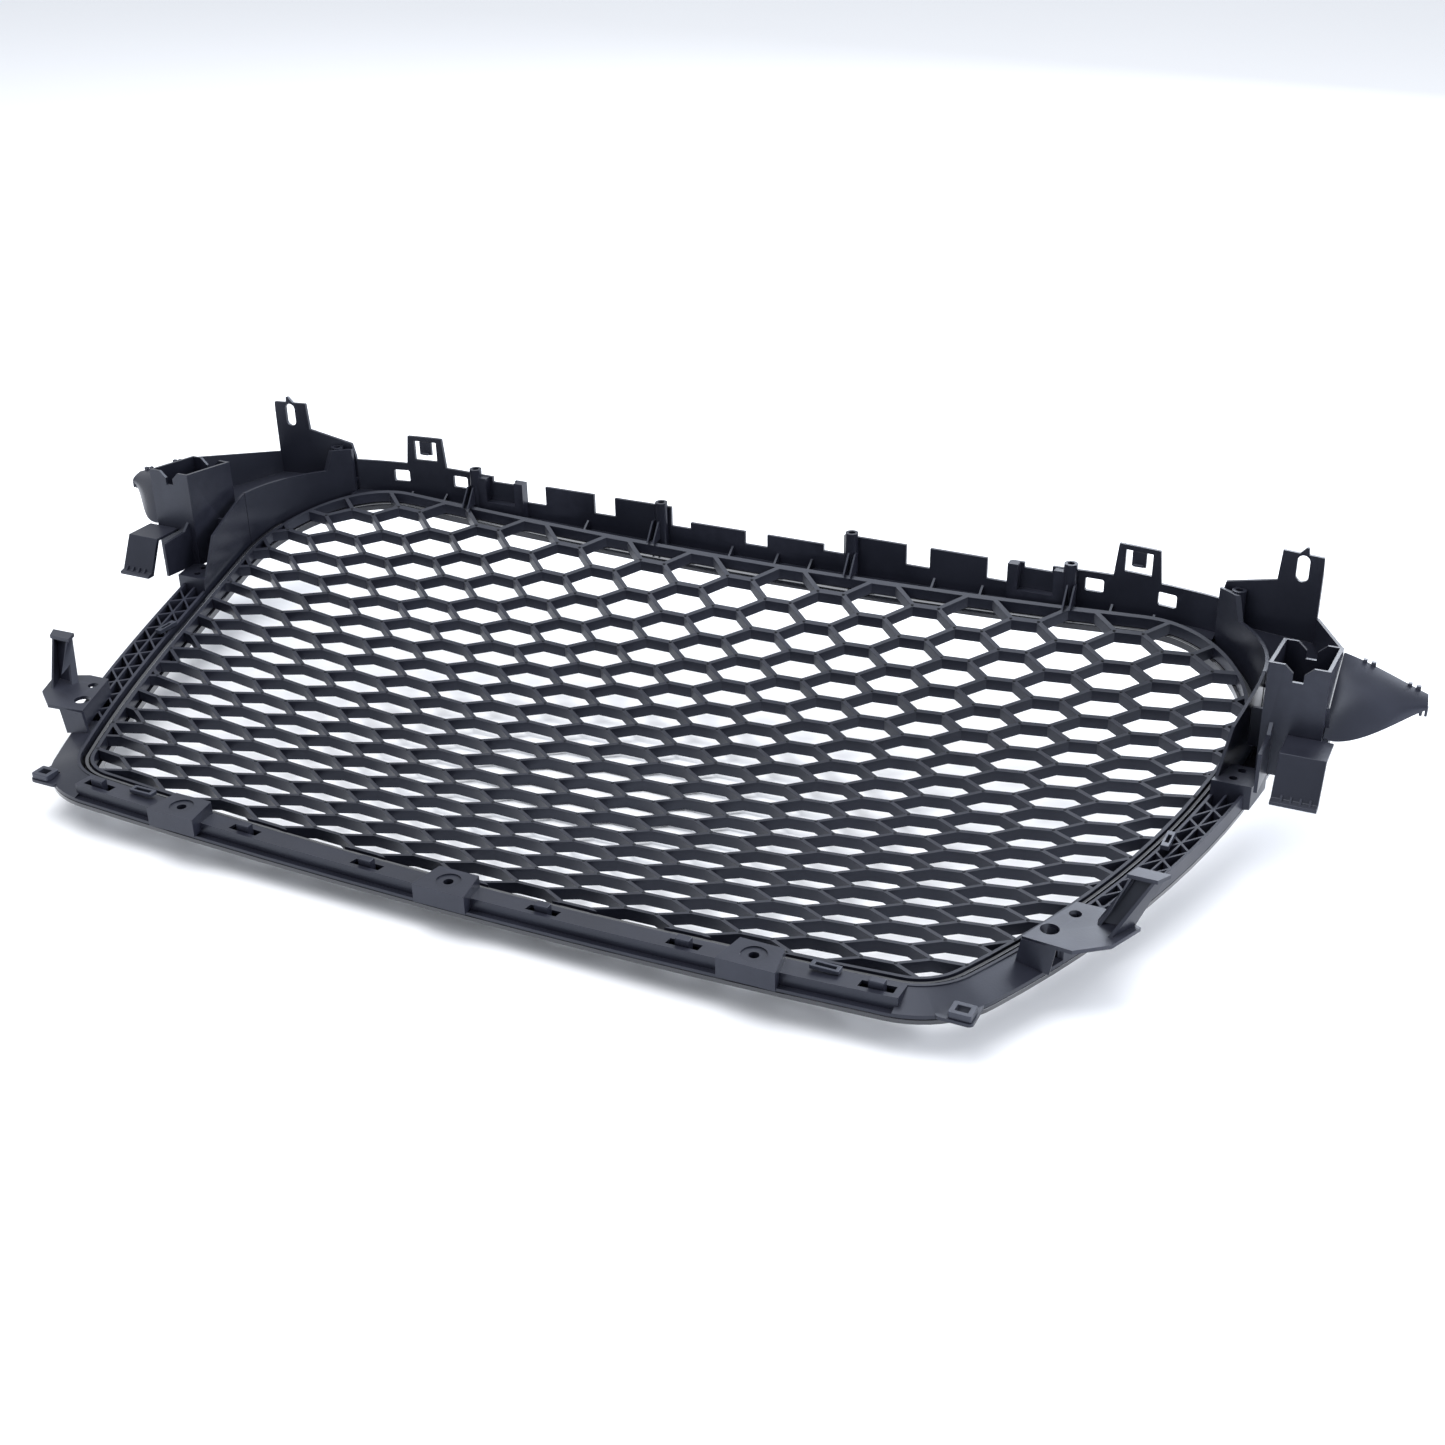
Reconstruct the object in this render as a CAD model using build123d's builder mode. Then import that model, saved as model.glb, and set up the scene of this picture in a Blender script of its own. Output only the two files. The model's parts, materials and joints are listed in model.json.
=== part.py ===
from build123d import *
import math
import os

os.makedirs("parts", exist_ok=True)

# The grille lies face down: +Z is its rear, +Y its top edge, X runs across the car.
# Lengths are in millimetres. Heights and places below are measured from the mesh datum,
# the middle of the mesh's rear face, and DATUM puts that point in the model's own frame.

# ---- mesh ----
COLUMN_PITCH = 36.0  # from one column of cells to the next
ROW_PITCH = 23.4  # from one row to the next, at the middle of the mesh
ROW_STRETCH = 0.118  # how the rows open out towards the top edge
CELL_FLAT = 19.7  # length of a cell's level edge
RIB = 3.0  # width of a rib
MESH_DEPTH = 7.5  # front to rear
RIM = 2.4  # width of the mesh's outer rim
LOWEST_ROW = -8.0  # the row whose cells are cut open along the bottom edge
OPEN_HALF_WIDTH = 205.0  # half the length of bottom edge that follows the cells

# ---- crowned rear face of the mesh ----
LEAN = 0.05  # rise per millimetre towards the top edge
BOW = 9.7e-4  # bow from bottom to top
TOP_SWEEP = 1.46e-6  # how the bow tightens towards the top edge
SIDE_RISE = 30.8  # rise of the sides over the middle
SIDE_RISE_AT = 360.0  # half width at which that rise is reached
CORNER_EASE = 0.5  # share of the side rise lost at the top and bottom edges
EASE_AT = 190.0  # half height at which that share is lost

# ---- outline of the mesh ----
BOTTOM_EDGE_Y = -181.5
TOP_EDGE_Y = 209.0
BOTTOM_CORNER_X = 288.0
SIDE_MIDDLE = (357.0, -8.0)
TOP_CORNER_X = 390.0
BOTTOM_CORNER_R = 30.0
TOP_CORNER_R = 88.0

# ---- gloss surround ring, in front of the carrier ----
GAP = 0.5  # clearance between neighbouring mouldings
LIP_WALL = 2.4  # wall that stands in the slot round the mesh
BEZEL_THICK = 3.0
BEZEL_OVERLAP = 4.0  # how far the bezel covers the mesh's edge
RING_TOP_Y = 211.0  # the ring stops short of the top shelf
LIP_TOP_Y = 150.0  # the lip stops where the ear housings begin to rise
SEAT_TOP_Y = 208.0  # the seat under the mesh's edge stops below the top shelf

# ---- carrier rails ----
RAIL_GAP = 6.0  # from the mesh's outline to the rail's inner wall
RAIL_OUT = 25.5  # from the mesh's outline to the rail's outer face
RAIL_TOP = 0.5  # rail's edge over the rear face
RAIL_DEPTH = 10.0
WALL = 2.0
RIB_WALL = 1.4
RAIL_RIB_PITCH = 19.0
BOTTOM_RAIL_END = -128.0  # where the side rails hand over to the bottom rail
SIDE_RAIL_END = 50.0  # where the side rails meet the guide sockets
LEDGE = 4.0  # width of the ledge at the foot of the bottom rail's front wall
CORNER_START_X = 276.0  # from here the flange slopes outwards round the corner
CORNER_DROP = 7.6  # how far the sloping flange's outer edge lies under its inner one

# ---- bottom rail ----
PAD_X = (-193.0, 0.0, 193.0)
PAD_Y = -200.0
PAD_WIDTH = 31.0
PAD_DEPTH = 23.0
PAD_RAISE = 7.0  # seat's height over the rear face
PAD_DROP = 12.0  # how far the seat's block reaches down
SEAT_SINK = 0.8
PAD_HOLE_D = 6.0
PAD_SEAT_D = 15.0
WINDOW_X = (-262.0, -149.0, -60.0, 60.0, 149.0, 262.0)
WINDOW_Y = -196.0
WINDOW_SIZE = (20.0, 6.5)
LUG_SIZE = (9.0, 5.0)
LUG_RAISE = 4.0
CORNER_TAB = (305.5, -191.0)
CORNER_TAB_SIZE = 21.0
COLLAR = (308.5, -195.0)
COLLAR_SIZE = (13.0, 11.0)
COLLAR_HOLE = (7.0, 5.0)
COLLAR_RAISE = 4.0
CORNER_TAB_Z = 19.8
EYELET = (231.0, -191.5)
EYELET_SIZE = (17.0, 6.0)
EYELET_HOLE = (12.0, 2.6)
EYELET_SIT = 1.2
EYELET_THICK = 2.5

# ---- top rail ----
SHELF_Z = 61.0  # shelf's rear face at the middle
SHELF_RISE = 8.0  # rise of the shelf at SHELF_RISE_AT
SHELF_RISE_AT = 300.0
SHELF_THICK = 2.5
TOP_WALL = 2.4
TOP_WALL_PATH = ((343.0, 209.0), (300.0, 219.8), (239.0, 223.8), (0.0, 226.0))
TOP_RAIL_END = 343.0
GUSSET_X = (-299.0, -269.0, -142.0, -19.0, 18.0, 45.0, 140.0, 176.0, 269.0, 299.0)
GUSSET_THICK = 1.6
BOSS_D = 9.4
BOSS_BORE_D = 5.0
BOSS_BORE_DEPTH = 25.0
BOSSES = ((77.0, 221.2, 95.0), (239.0, 219.0, 99.0))  # x, y, height of the rim
POCKET_X = (199.0, 232.0)  # middles of a clip pocket's two cheeks
POCKET_CHEEK = (7.5, 7.0)
POCKET_TOP = 93.0
POCKET_Y = 219.0
POCKET_MIDDLE = 215.5
POCKET_GAP = 20.0
POCKET_SILL = 89.0
POCKET_DIP = 4.0
POCKET_SHELF = 10.0
NOTCH_Z = 76.0  # top of the wall between its merlons
CENTRE_DIP = 4.8
MERLONS = ((9.0, 54.0, 81.0), (70.0, 118.0, 91.0), (136.0, 178.5, 91.3))  # from, to, top
WALL_STEP = 196.0
WALL_NEAR = 92.5
WALL_END = 96.0
TAB_X = 285.0
TAB_WIDTH = (34.0, 29.0)  # at its foot and at its top
TAB_FOOT = 95.0
TAB_TOP = 120.0
SLOT_WIDTH = 19.0
SLOT_BOTTOM = 98.8
SLOT_TOP = 114.5
TONGUE_WIDTH = 10.0
TONGUE_BOTTOM = 103.6
TONGUE_GAP = 0.3
TOP_WINDOW_X = (255.5, 307.0)
TOP_WINDOW_Z = 84.5
TOP_WINDOW_SIZE = (13.0, 9.5)

# ---- guide sockets ----
SOCKET_X = (398.5, 434.0)
SOCKET_Y = (72.5, 121.5)
SOCKET_FOOT = 47.0
SOCKET_RIM = (120.0, 114.5)  # at the front wall and at the back wall
SOCKET_WALL = 2.2
SOCKET_FLOOR_Z = 58.0
NOTCH_WIDTH = 17.0
NOTCH_SHOULDER = 5.0
NOTCH_SLOT_WIDTH = 6.4
NOTCH_DEPTH = 10.5
FLANGE_X = 403.5
FLANGE_Y = 43.0
FLANGE_TOP = 74.5
HEAD_TOP = 48.0  # raised end of the side rail, beside the socket
HEAD_HOLES = ((389.0, 57.5), (392.0, 68.5))
HEAD_HOLE_D = 5.0
HEAD_HOLE_DEPTH = 8.0
SIDE_WALL_RISE = 74.0  # inner wall's height at the socket's front
TIE_X = (386.5, 399.5)  # web from the inner wall to the socket
TIE_Y = 100.0
TIE_Z = (50.0, 76.0)

# ---- clip plates in front of the sockets ----
CLIP_X = (414.5, 441.5)
CLIP_TOP = (48.0, 75.5)  # y, z of the bend
CLIP_FOOT = (36.5, 52.0)
CLIP_THICK = 2.2
CLIP_LIP = 4.0

# ---- ear housings ----
EAR_FOOT = (379.0, 199.0)
EAR_END = (407.5, 194.5)
EAR_TOP = 140.0
EAR_SHOULDER = 119.0
EAR_SLOT_Z = 130.0
EAR_SLOT = (18.0, 8.0)
EAR_SPIKE = 4.5
HOUSING_WALL = 2.4
HOUSING_FOOT = 68.0
HOUSING_TOP = 109.0
HOUSING_FLOOR = 79.0
HOUSING_LOW_WALL = 90.0
INNER_STEP_Y = 189.0  # where the inner wall steps up towards the boss
HOUSING_BOSS = (356.0, 200.5)
HOUSING_BOSS_TOP = 107.0
SIDE_WALL_END_Z = 98.0

# ---- air deflectors ----
WING_ROOT_FRONT = (434.5, 74.0, 76.0)
WING_ROOT_BACK = (434.5, 121.0, 112.0)
WING_CREASE = (434.5, 112.0, 97.0)
WING_KNEE = (470.0, 101.0, 85.0)
WING_TIP = (487.0, 109.0, 92.0)
WING_TOP = (477.0, 116.0, 97.0)
WING_THICK = 3.0  # measured upright

# ---- lower brackets ----
BRACKET_OUTLINE = (
    (339.0, -98.0),
    (355.0, -98.5),
    (377.0, -108.5),
    (367.5, -131.0),
    (350.0, -144.5),
    (322.0, -142.0),
)
BRACKET_TOP = 39.5
BRACKET_THICK = 2.4
SMALL_HOLE = (341.8, -110.0, 7.0)
LARGE_HOLE = (333.5, -129.6, 10.5)
HOOK_FOOT = ((356.2, -128.7), (365.7, -126.4), (375.2, -107.7), (352.0, -110.0))
HOOK_HEAD = ((365.4, -101.6), (382.0, -101.7), (387.0, -92.9), (368.9, -92.4))
HOOK_TOP = 66.0
HOOK_WALL = 1.8
HOOK_PLATE = 2.4
HOOK_RIM = 1.2  # how far the head's plate stands out over the hook's walls
PILLAR_TOP_X = (322.0, 341.5)
PILLAR_FOOT_X = (317.7, 337.0)
PILLAR_Y = -143.4
PILLAR_FOOT_Z = 12.0

# ---- side snap clips ----
SIDE_CLIP = (367.0, -7.0)
SIDE_CLIP_SIZE = (5.0, 18.0)
SIDE_CLIP_HOLE = (2.0, 9.0)
SIDE_CLIP_THICK = 3.0

# ---- the model's own frame ----
DATUM_Y = -(TOP_WALL_PATH[-1][1] + PAD_Y - PAD_DEPTH / 2) / 2
DATUM_Z = 8.16
DATUM = Plane(origin=(0, DATUM_Y, DATUM_Z))
BASE = DATUM.offset(-60)  # below everything, where upright prisms start
FAR = 400.0  # longer than anything it cuts


def row_y(row):
    """Distance of a row of cells from the middle of the mesh."""
    return ROW_PITCH * row + ROW_STRETCH * row**2


def rear_height(x, y):
    """Height of the crowned rear face over the datum."""
    profile = LEAN * y + BOW * y**2 + TOP_SWEEP * y**3
    ease = 1 - CORNER_EASE * (y / EASE_AT) ** 2
    return profile + SIDE_RISE * (x / SIDE_RISE_AT) ** 2 * ease


def shelf_height(x):
    """Height of the top shelf over the datum."""
    return SHELF_Z + SHELF_RISE * (x / SHELF_RISE_AT) ** 2


def curved_slab(low, high):
    """Everything between two heights over the crowned rear face."""
    columns = range(-440, 441, 40)
    rows = range(-240, 241, 24)
    points = [
        [Vector(x, y + DATUM_Y, DATUM_Z + rear_height(x, y) + low) for y in rows]
        for x in columns
    ]
    face = Face.make_surface_from_array_of_points(points)
    return extrude(face, amount=high - low, dir=(0, 0, 1), mode=Mode.PRIVATE)


def outline(grow, top=TOP_EDGE_Y):
    """Face inside the mesh's outline, grown outwards."""
    with BuildSketch(BASE, mode=Mode.PRIVATE) as shape:
        with BuildLine():
            side = ThreePointArc(
                (BOTTOM_CORNER_X, BOTTOM_EDGE_Y), SIDE_MIDDLE, (TOP_CORNER_X, top)
            )
            Line((0, BOTTOM_EDGE_Y), side @ 0)
            Line(side @ 1, (0, top))
            mirror(about=Plane.YZ)
        make_face()
        corners = shape.vertices().group_by(Axis.Y)
        fillet(corners[-1].filter_by(lambda v: abs(v.X) > 1), TOP_CORNER_R)
        corners = shape.vertices().filter_by(lambda v: abs(v.X) > 1)
        fillet(corners.group_by(Axis.Y)[0], BOTTOM_CORNER_R)
        if grow:
            offset(amount=grow)
    return shape.sketch


def band(inner, outer):
    """Flat ring between two offsets of the mesh's outline."""
    return outline(outer) - outline(inner)


def keep_box(x_range, y_range):
    """Upright block over a stretch of the plan, taller than the grille."""
    (x0, x1), (y0, y1) = x_range, y_range
    centre = ((x0 + x1) / 2, (y0 + y1) / 2 + DATUM_Y, DATUM_Z)
    return Pos(*centre) * Box(x1 - x0, y1 - y0, FAR, mode=Mode.PRIVATE)


def upright(y):
    """Plane across the grille at a given y, with its local y upwards."""
    return Plane(origin=(0, y + DATUM_Y, DATUM_Z), x_dir=(1, 0, 0), z_dir=(0, -1, 0))


def lengthwise(x):
    """Plane along the grille at a given x, with local x to +Y and local y upwards."""
    return Plane(origin=(x, DATUM_Y, DATUM_Z), x_dir=(0, 1, 0), z_dir=(1, 0, 0))


def save(part, label):
    part.label = label
    export_step(part, f"parts/{label}.step")


def save_pair(part, label):
    """Write a right-hand piece and its mirror image."""
    save(part, f"right_{label}")
    save(mirror(part, about=Plane.YZ), f"left_{label}")


# ---- honeycomb mesh ----


def cell_rows():
    """Row number, middle and the two level edges of every row of cells."""
    rows = []
    row = LOWEST_ROW - 0.5
    while row_y(row - 0.5) < TOP_EDGE_Y:
        rows.append((row, row_y(row), row_y(row - 0.5), row_y(row + 0.5)))
        row += 0.5
    return rows


def cell_outline(low, middle, high):
    """Corner points of a cell's opening, for a cell at x = 0."""
    half = RIB / 2
    flat = CELL_FLAT / 2 - half * 0.5
    reach = COLUMN_PITCH - CELL_FLAT / 2 - half * 1.25
    return [
        (-flat, low + half),
        (flat, low + half),
        (reach, middle),
        (flat, high - half),
        (-flat, high - half),
        (-reach, middle),
    ]


with BuildSketch(BASE) as cells:
    for row, middle, low, high in cell_rows():
        odd = round(row * 2) % 2 == 0
        columns = [c for c in range(-11, 12) if (c % 2 == 1) == odd]
        with Locations(*[(c * COLUMN_PITCH, 0) for c in columns]):
            Polygon(*cell_outline(low, middle, high), align=None)

# a smooth rim stays round the mesh, except along the middle of the bottom edge
open_edge = Rectangle(2 * OPEN_HALF_WIDTH, 2 * RIM)
open_edge = Plane(BASE.from_local_coords((0, BOTTOM_EDGE_Y, 0))) * open_edge
openings = (outline(-RIM) + open_edge) & cells.sketch

with BuildPart() as honeycomb_mesh:
    add(outline(0) - openings)
    extrude(amount=FAR / 2)
    add(curved_slab(-MESH_DEPTH, 0), mode=Mode.INTERSECT)
save(honeycomb_mesh.part, "honeycomb_mesh")


# ---- gloss surround ring ----

rail_foot = RAIL_TOP - RAIL_DEPTH
bezel_rear = rail_foot - GAP

ring_plan = band(-BEZEL_OVERLAP, RAIL_OUT)
lip_plan = band(2 * GAP, 2 * GAP + LIP_WALL)
seat_plan = band(-BEZEL_OVERLAP, 2 * GAP)
ring_zone = keep_box((-440, 440), (-260, RING_TOP_Y))
lip_zone = keep_box((-440, 440), (-260, LIP_TOP_Y))
seat_zone = keep_box((-440, 440), (-260, SEAT_TOP_Y))

with BuildPart() as surround_ring:
    add(ring_plan)
    extrude(amount=FAR / 2)
    add(curved_slab(bezel_rear - BEZEL_THICK, bezel_rear) & ring_zone, mode=Mode.INTERSECT)

with BuildPart() as ring_lip:
    add(lip_plan)
    extrude(amount=FAR / 2)
    add(curved_slab(bezel_rear, -2 * GAP) & lip_zone, mode=Mode.INTERSECT)

with BuildPart() as ring_seat:
    add(seat_plan)
    extrude(amount=FAR / 2)
    add(curved_slab(bezel_rear, -MESH_DEPTH - GAP) & seat_zone, mode=Mode.INTERSECT)
save(surround_ring.part + ring_lip.part + ring_seat.part, "surround_ring")


# ---- side rails: open channels with a middle rib and crossed ribs ----

rail_slab = curved_slab(rail_foot, RAIL_TOP)
rail_floor = curved_slab(rail_foot, rail_foot + WALL)
side_zone = keep_box((250, 440), (BOTTOM_RAIL_END, SIDE_RAIL_END))
rail_middle = (RAIL_GAP + RAIL_OUT) / 2

with BuildPart() as rail_floor_plate:
    add(band(RAIL_GAP, RAIL_OUT))
    extrude(amount=FAR / 2)
    add(rail_floor & side_zone, mode=Mode.INTERSECT)


def rail_point(y, grow):
    """Point on the right side of the mesh's outline, grown outwards, at a given y."""
    (x0, y0), (xm, ym), (x1, y1) = (
        (BOTTOM_CORNER_X, BOTTOM_EDGE_Y),
        SIDE_MIDDLE,
        (TOP_CORNER_X, TOP_EDGE_Y),
    )
    share = (y - y0) / (y1 - y0)
    chord = x0 + (x1 - x0) * share
    share_middle = (ym - y0) / (y1 - y0)
    sag = (xm - x0 - (x1 - x0) * share_middle) / (4 * share_middle * (1 - share_middle))
    return (chord + 4 * sag * share * (1 - share) + grow, y)


with BuildSketch(BASE) as side_ribs:
    count = int((SIDE_RAIL_END - BOTTOM_RAIL_END) / RAIL_RIB_PITCH)
    for number in range(count):
        y0 = BOTTOM_RAIL_END + number * RAIL_RIB_PITCH
        y1 = y0 + RAIL_RIB_PITCH
        for start, end in ((RAIL_GAP, RAIL_OUT), (RAIL_OUT, RAIL_GAP)):
            with BuildLine(mode=Mode.PRIVATE) as cross:
                Line(rail_point(y0, start), rail_point(y1, end))
            trace(cross.line, line_width=RIB_WALL)

rail_walls = (
    band(RAIL_GAP, RAIL_GAP + WALL)
    + band(RAIL_OUT - WALL, RAIL_OUT)
    + band(rail_middle - RIB_WALL / 2, rail_middle + RIB_WALL / 2)
    + (side_ribs.sketch & band(RAIL_GAP, RAIL_OUT))
)

with BuildPart() as side_rail:
    add(rail_walls)
    extrude(amount=FAR / 2)
    add(rail_slab & side_zone, mode=Mode.INTERSECT)
    add(rail_floor_plate.part)
save_pair(side_rail.part, "side_rail")


# ---- bottom rail: a flange with a front wall, raised screw seats and snap windows ----

bottom_zone = keep_box((-440, 440), (-260, BOTTOM_RAIL_END - GAP / 2))
flange_out = RAIL_OUT - LEDGE


def on_rear(x, y, rise=0.0):
    """Point over the crowned rear face, for placing small features."""
    return (x, y + DATUM_Y, DATUM_Z + rear_height(x, y) + rise)


def outside(x, y):
    """Rough distance outside the mesh's outline round its bottom right corner."""
    (edge_x, _), slope_x = rail_point(y, 0), rail_point(BOTTOM_EDGE_Y + 1, 0)[0] - BOTTOM_CORNER_X
    lean = math.atan(slope_x)
    centre_y = BOTTOM_EDGE_Y + BOTTOM_CORNER_R
    centre_x = BOTTOM_CORNER_X - BOTTOM_CORNER_R * (1 - math.sin(lean)) / math.cos(lean)
    angle = math.atan2(y - centre_y, x - centre_x)
    if x <= centre_x:
        return BOTTOM_EDGE_Y - y
    if -math.pi / 2 <= angle <= -lean:
        return math.hypot(x - centre_x, y - centre_y) - BOTTOM_CORNER_R
    return (x - edge_x) * math.cos(lean)


def corner_slab(low, high):
    """Everything between two heights over the sloping flange of the right corner."""
    slope = CORNER_DROP / (RAIL_OUT - RAIL_GAP)
    points = [
        [
            Vector(
                x,
                y + DATUM_Y,
                DATUM_Z + rear_height(x, y) + RAIL_TOP - slope * (outside(x, y) - RAIL_GAP) + low,
            )
            for y in range(-232, -103, 8)
        ]
        for x in range(240, 401, 8)
    ]
    face = Face.make_surface_from_array_of_points(points)
    return extrude(face, amount=high - low, dir=(0, 0, 1), mode=Mode.PRIVATE)


flat_zone = keep_box((-CORNER_START_X, CORNER_START_X), (-260, BOTTOM_RAIL_END - GAP / 2))
corner_zone = keep_box((CORNER_START_X - WALL, 440), (-260, BOTTOM_RAIL_END - GAP / 2))
with BuildPart() as bottom_rail:
    add(band(RAIL_GAP, flange_out))
    extrude(amount=FAR / 2)
    add(curved_slab(RAIL_TOP - WALL, RAIL_TOP) & flat_zone, mode=Mode.INTERSECT)

with BuildPart() as bottom_walls:
    add(band(RAIL_GAP, RAIL_GAP + WALL))
    extrude(amount=FAR / 2)
    add(curved_slab(rail_foot, RAIL_TOP) & bottom_zone, mode=Mode.INTERSECT)

end_webs = keep_box((-CORNER_START_X, -CORNER_START_X + WALL), (-260, BOTTOM_RAIL_END))
end_webs += keep_box((CORNER_START_X - WALL, CORNER_START_X), (-260, BOTTOM_RAIL_END))
with BuildPart() as front_walls:
    add(band(flange_out - WALL, flange_out))
    extrude(amount=FAR / 2)
    add(curved_slab(rail_foot, RAIL_TOP) & flat_zone, mode=Mode.INTERSECT)
with BuildPart() as rail_webs:
    add(band(RAIL_GAP, flange_out))
    extrude(amount=FAR / 2)
    add(curved_slab(rail_foot, RAIL_TOP) & end_webs, mode=Mode.INTERSECT)

with BuildPart() as corner_flange:
    add(band(RAIL_GAP, RAIL_OUT))
    extrude(amount=FAR / 2)
    add(corner_slab(-WALL, 0) & corner_zone, mode=Mode.INTERSECT)
corner_flanges = corner_flange.part + mirror(corner_flange.part, about=Plane.YZ)

with BuildPart() as bottom_ledge:
    add(band(flange_out - WALL, RAIL_OUT))
    extrude(amount=FAR / 2)
    add(curved_slab(rail_foot, rail_foot + WALL) & bottom_zone, mode=Mode.INTERSECT)

with BuildPart() as bottom_seats:
    for x in PAD_X:
        seat_top = rear_height(x, PAD_Y) + PAD_RAISE
        with BuildSketch(DATUM.offset(seat_top)):
            with Locations((x, PAD_Y)):
                Trapezoid(PAD_WIDTH + 4, PAD_DEPTH, 80)
        extrude(amount=-PAD_DROP)
        with BuildSketch(DATUM.offset(seat_top)):
            with Locations((x, PAD_Y)):
                Circle(PAD_SEAT_D / 2)
        extrude(amount=-SEAT_SINK, mode=Mode.SUBTRACT)

with BuildPart() as corner_tabs:
    for side in (-1, 1):
        x, y = CORNER_TAB
        with BuildSketch(DATUM.offset(CORNER_TAB_Z)):
            with Locations((side * x, y)):
                RectangleRounded(CORNER_TAB_SIZE, CORNER_TAB_SIZE, 3)
        extrude(amount=-WALL)
corner_tab_plates = corner_tabs.part - extrude(outline(RAIL_OUT - WALL), amount=FAR / 2)

with BuildPart() as bottom_cuts:
    for x in WINDOW_X:
        with Locations(on_rear(x, WINDOW_Y)):
            Box(*WINDOW_SIZE, 3 * WALL)
    for x in PAD_X:
        with Locations(on_rear(x, PAD_Y)):
            Cylinder(PAD_HOLE_D / 2, 4 * PAD_RAISE)
    for side in (-1, 1):
        x, y = COLLAR
        with BuildSketch(DATUM.offset(CORNER_TAB_Z)):
            with Locations((side * x, y)):
                Rectangle(COLLAR_SIZE[0] + 2 * GAP, COLLAR_SIZE[1] + 2 * GAP)
        extrude(amount=2 * CORNER_DROP)
        with BuildSketch(DATUM.offset(CORNER_TAB_Z)):
            with Locations((side * x, y)):
                Rectangle(*COLLAR_HOLE)
        extrude(amount=-2 * WALL)
seats = bottom_seats.part - extrude(outline(RAIL_GAP), amount=FAR / 2)
rail = bottom_rail.part + bottom_walls.part + front_walls.part + rail_webs.part
rail += bottom_ledge.part + seats + corner_tab_plates + corner_flanges
save(rail - bottom_cuts.part, "bottom_rail")

with BuildPart() as corner_collars:
    for side in (-1, 1):
        x, y = COLLAR
        with BuildSketch(DATUM.offset(CORNER_TAB_Z)):
            with Locations((side * x, y)):
                RectangleRounded(*COLLAR_SIZE, 1.2)
                Rectangle(*COLLAR_HOLE, mode=Mode.SUBTRACT)
        extrude(amount=COLLAR_RAISE)
save(corner_collars.part, "corner_collars")

with BuildPart() as ring_snap_lugs:
    for x in WINDOW_X:
        lug_foot = rear_height(x, WINDOW_Y) + bezel_rear + 2 * GAP
        with BuildSketch(DATUM.offset(lug_foot)):
            with Locations((x, WINDOW_Y)):
                Rectangle(*LUG_SIZE)
        extrude(amount=RAIL_DEPTH + LUG_RAISE)
save(ring_snap_lugs.part, "ring_snap_lugs")

with BuildPart() as snap_eyelets:
    for side in (-1, 1):
        x, y = EYELET
        with BuildSketch(DATUM.offset(rear_height(x, y) + RAIL_TOP + EYELET_SIT)):
            with Locations((side * x, y)):
                Rectangle(*EYELET_SIZE)
                Rectangle(*EYELET_HOLE, mode=Mode.SUBTRACT)
        extrude(amount=EYELET_THICK)
save(snap_eyelets.part, "snap_eyelets")


# ---- top rail: shelf, notched wall, gussets, screw bosses and clip pockets ----


def wall_plan(shift):
    """Plan of everything in front of the top wall, moved towards it by shift."""
    with BuildSketch(BASE, mode=Mode.PRIVATE) as plan:
        with BuildLine():
            end, bend, start, middle = [(x, y + shift) for x, y in TOP_WALL_PATH]
            ThreePointArc((-start[0], start[1]), middle, start)
            corner = Spline(start, bend, end)
            mirror(corner, about=Plane.YZ)
            Polyline((-end[0], end[1]), (-end[0], 150), (end[0], 150), end)
        make_face()
    return plan.sketch


shelf_prism = extrude(wall_plan(0) - outline(GAP), amount=FAR / 2)

with BuildPart() as shelf:
    with BuildSketch(upright(150)):
        with BuildLine():
            end = TOP_RAIL_END
            rim = ThreePointArc(
                (-end, shelf_height(end)), (0, SHELF_Z), (end, shelf_height(end))
            )
            foot = ThreePointArc(
                (-end, shelf_height(end) - SHELF_THICK),
                (0, SHELF_Z - SHELF_THICK),
                (end, shelf_height(end) - SHELF_THICK),
            )
            Line(rim @ 0, foot @ 0)
            Line(rim @ 1, foot @ 1)
        make_face()
    extrude(amount=-FAR / 4)
    add(shelf_prism, mode=Mode.INTERSECT)

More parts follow.
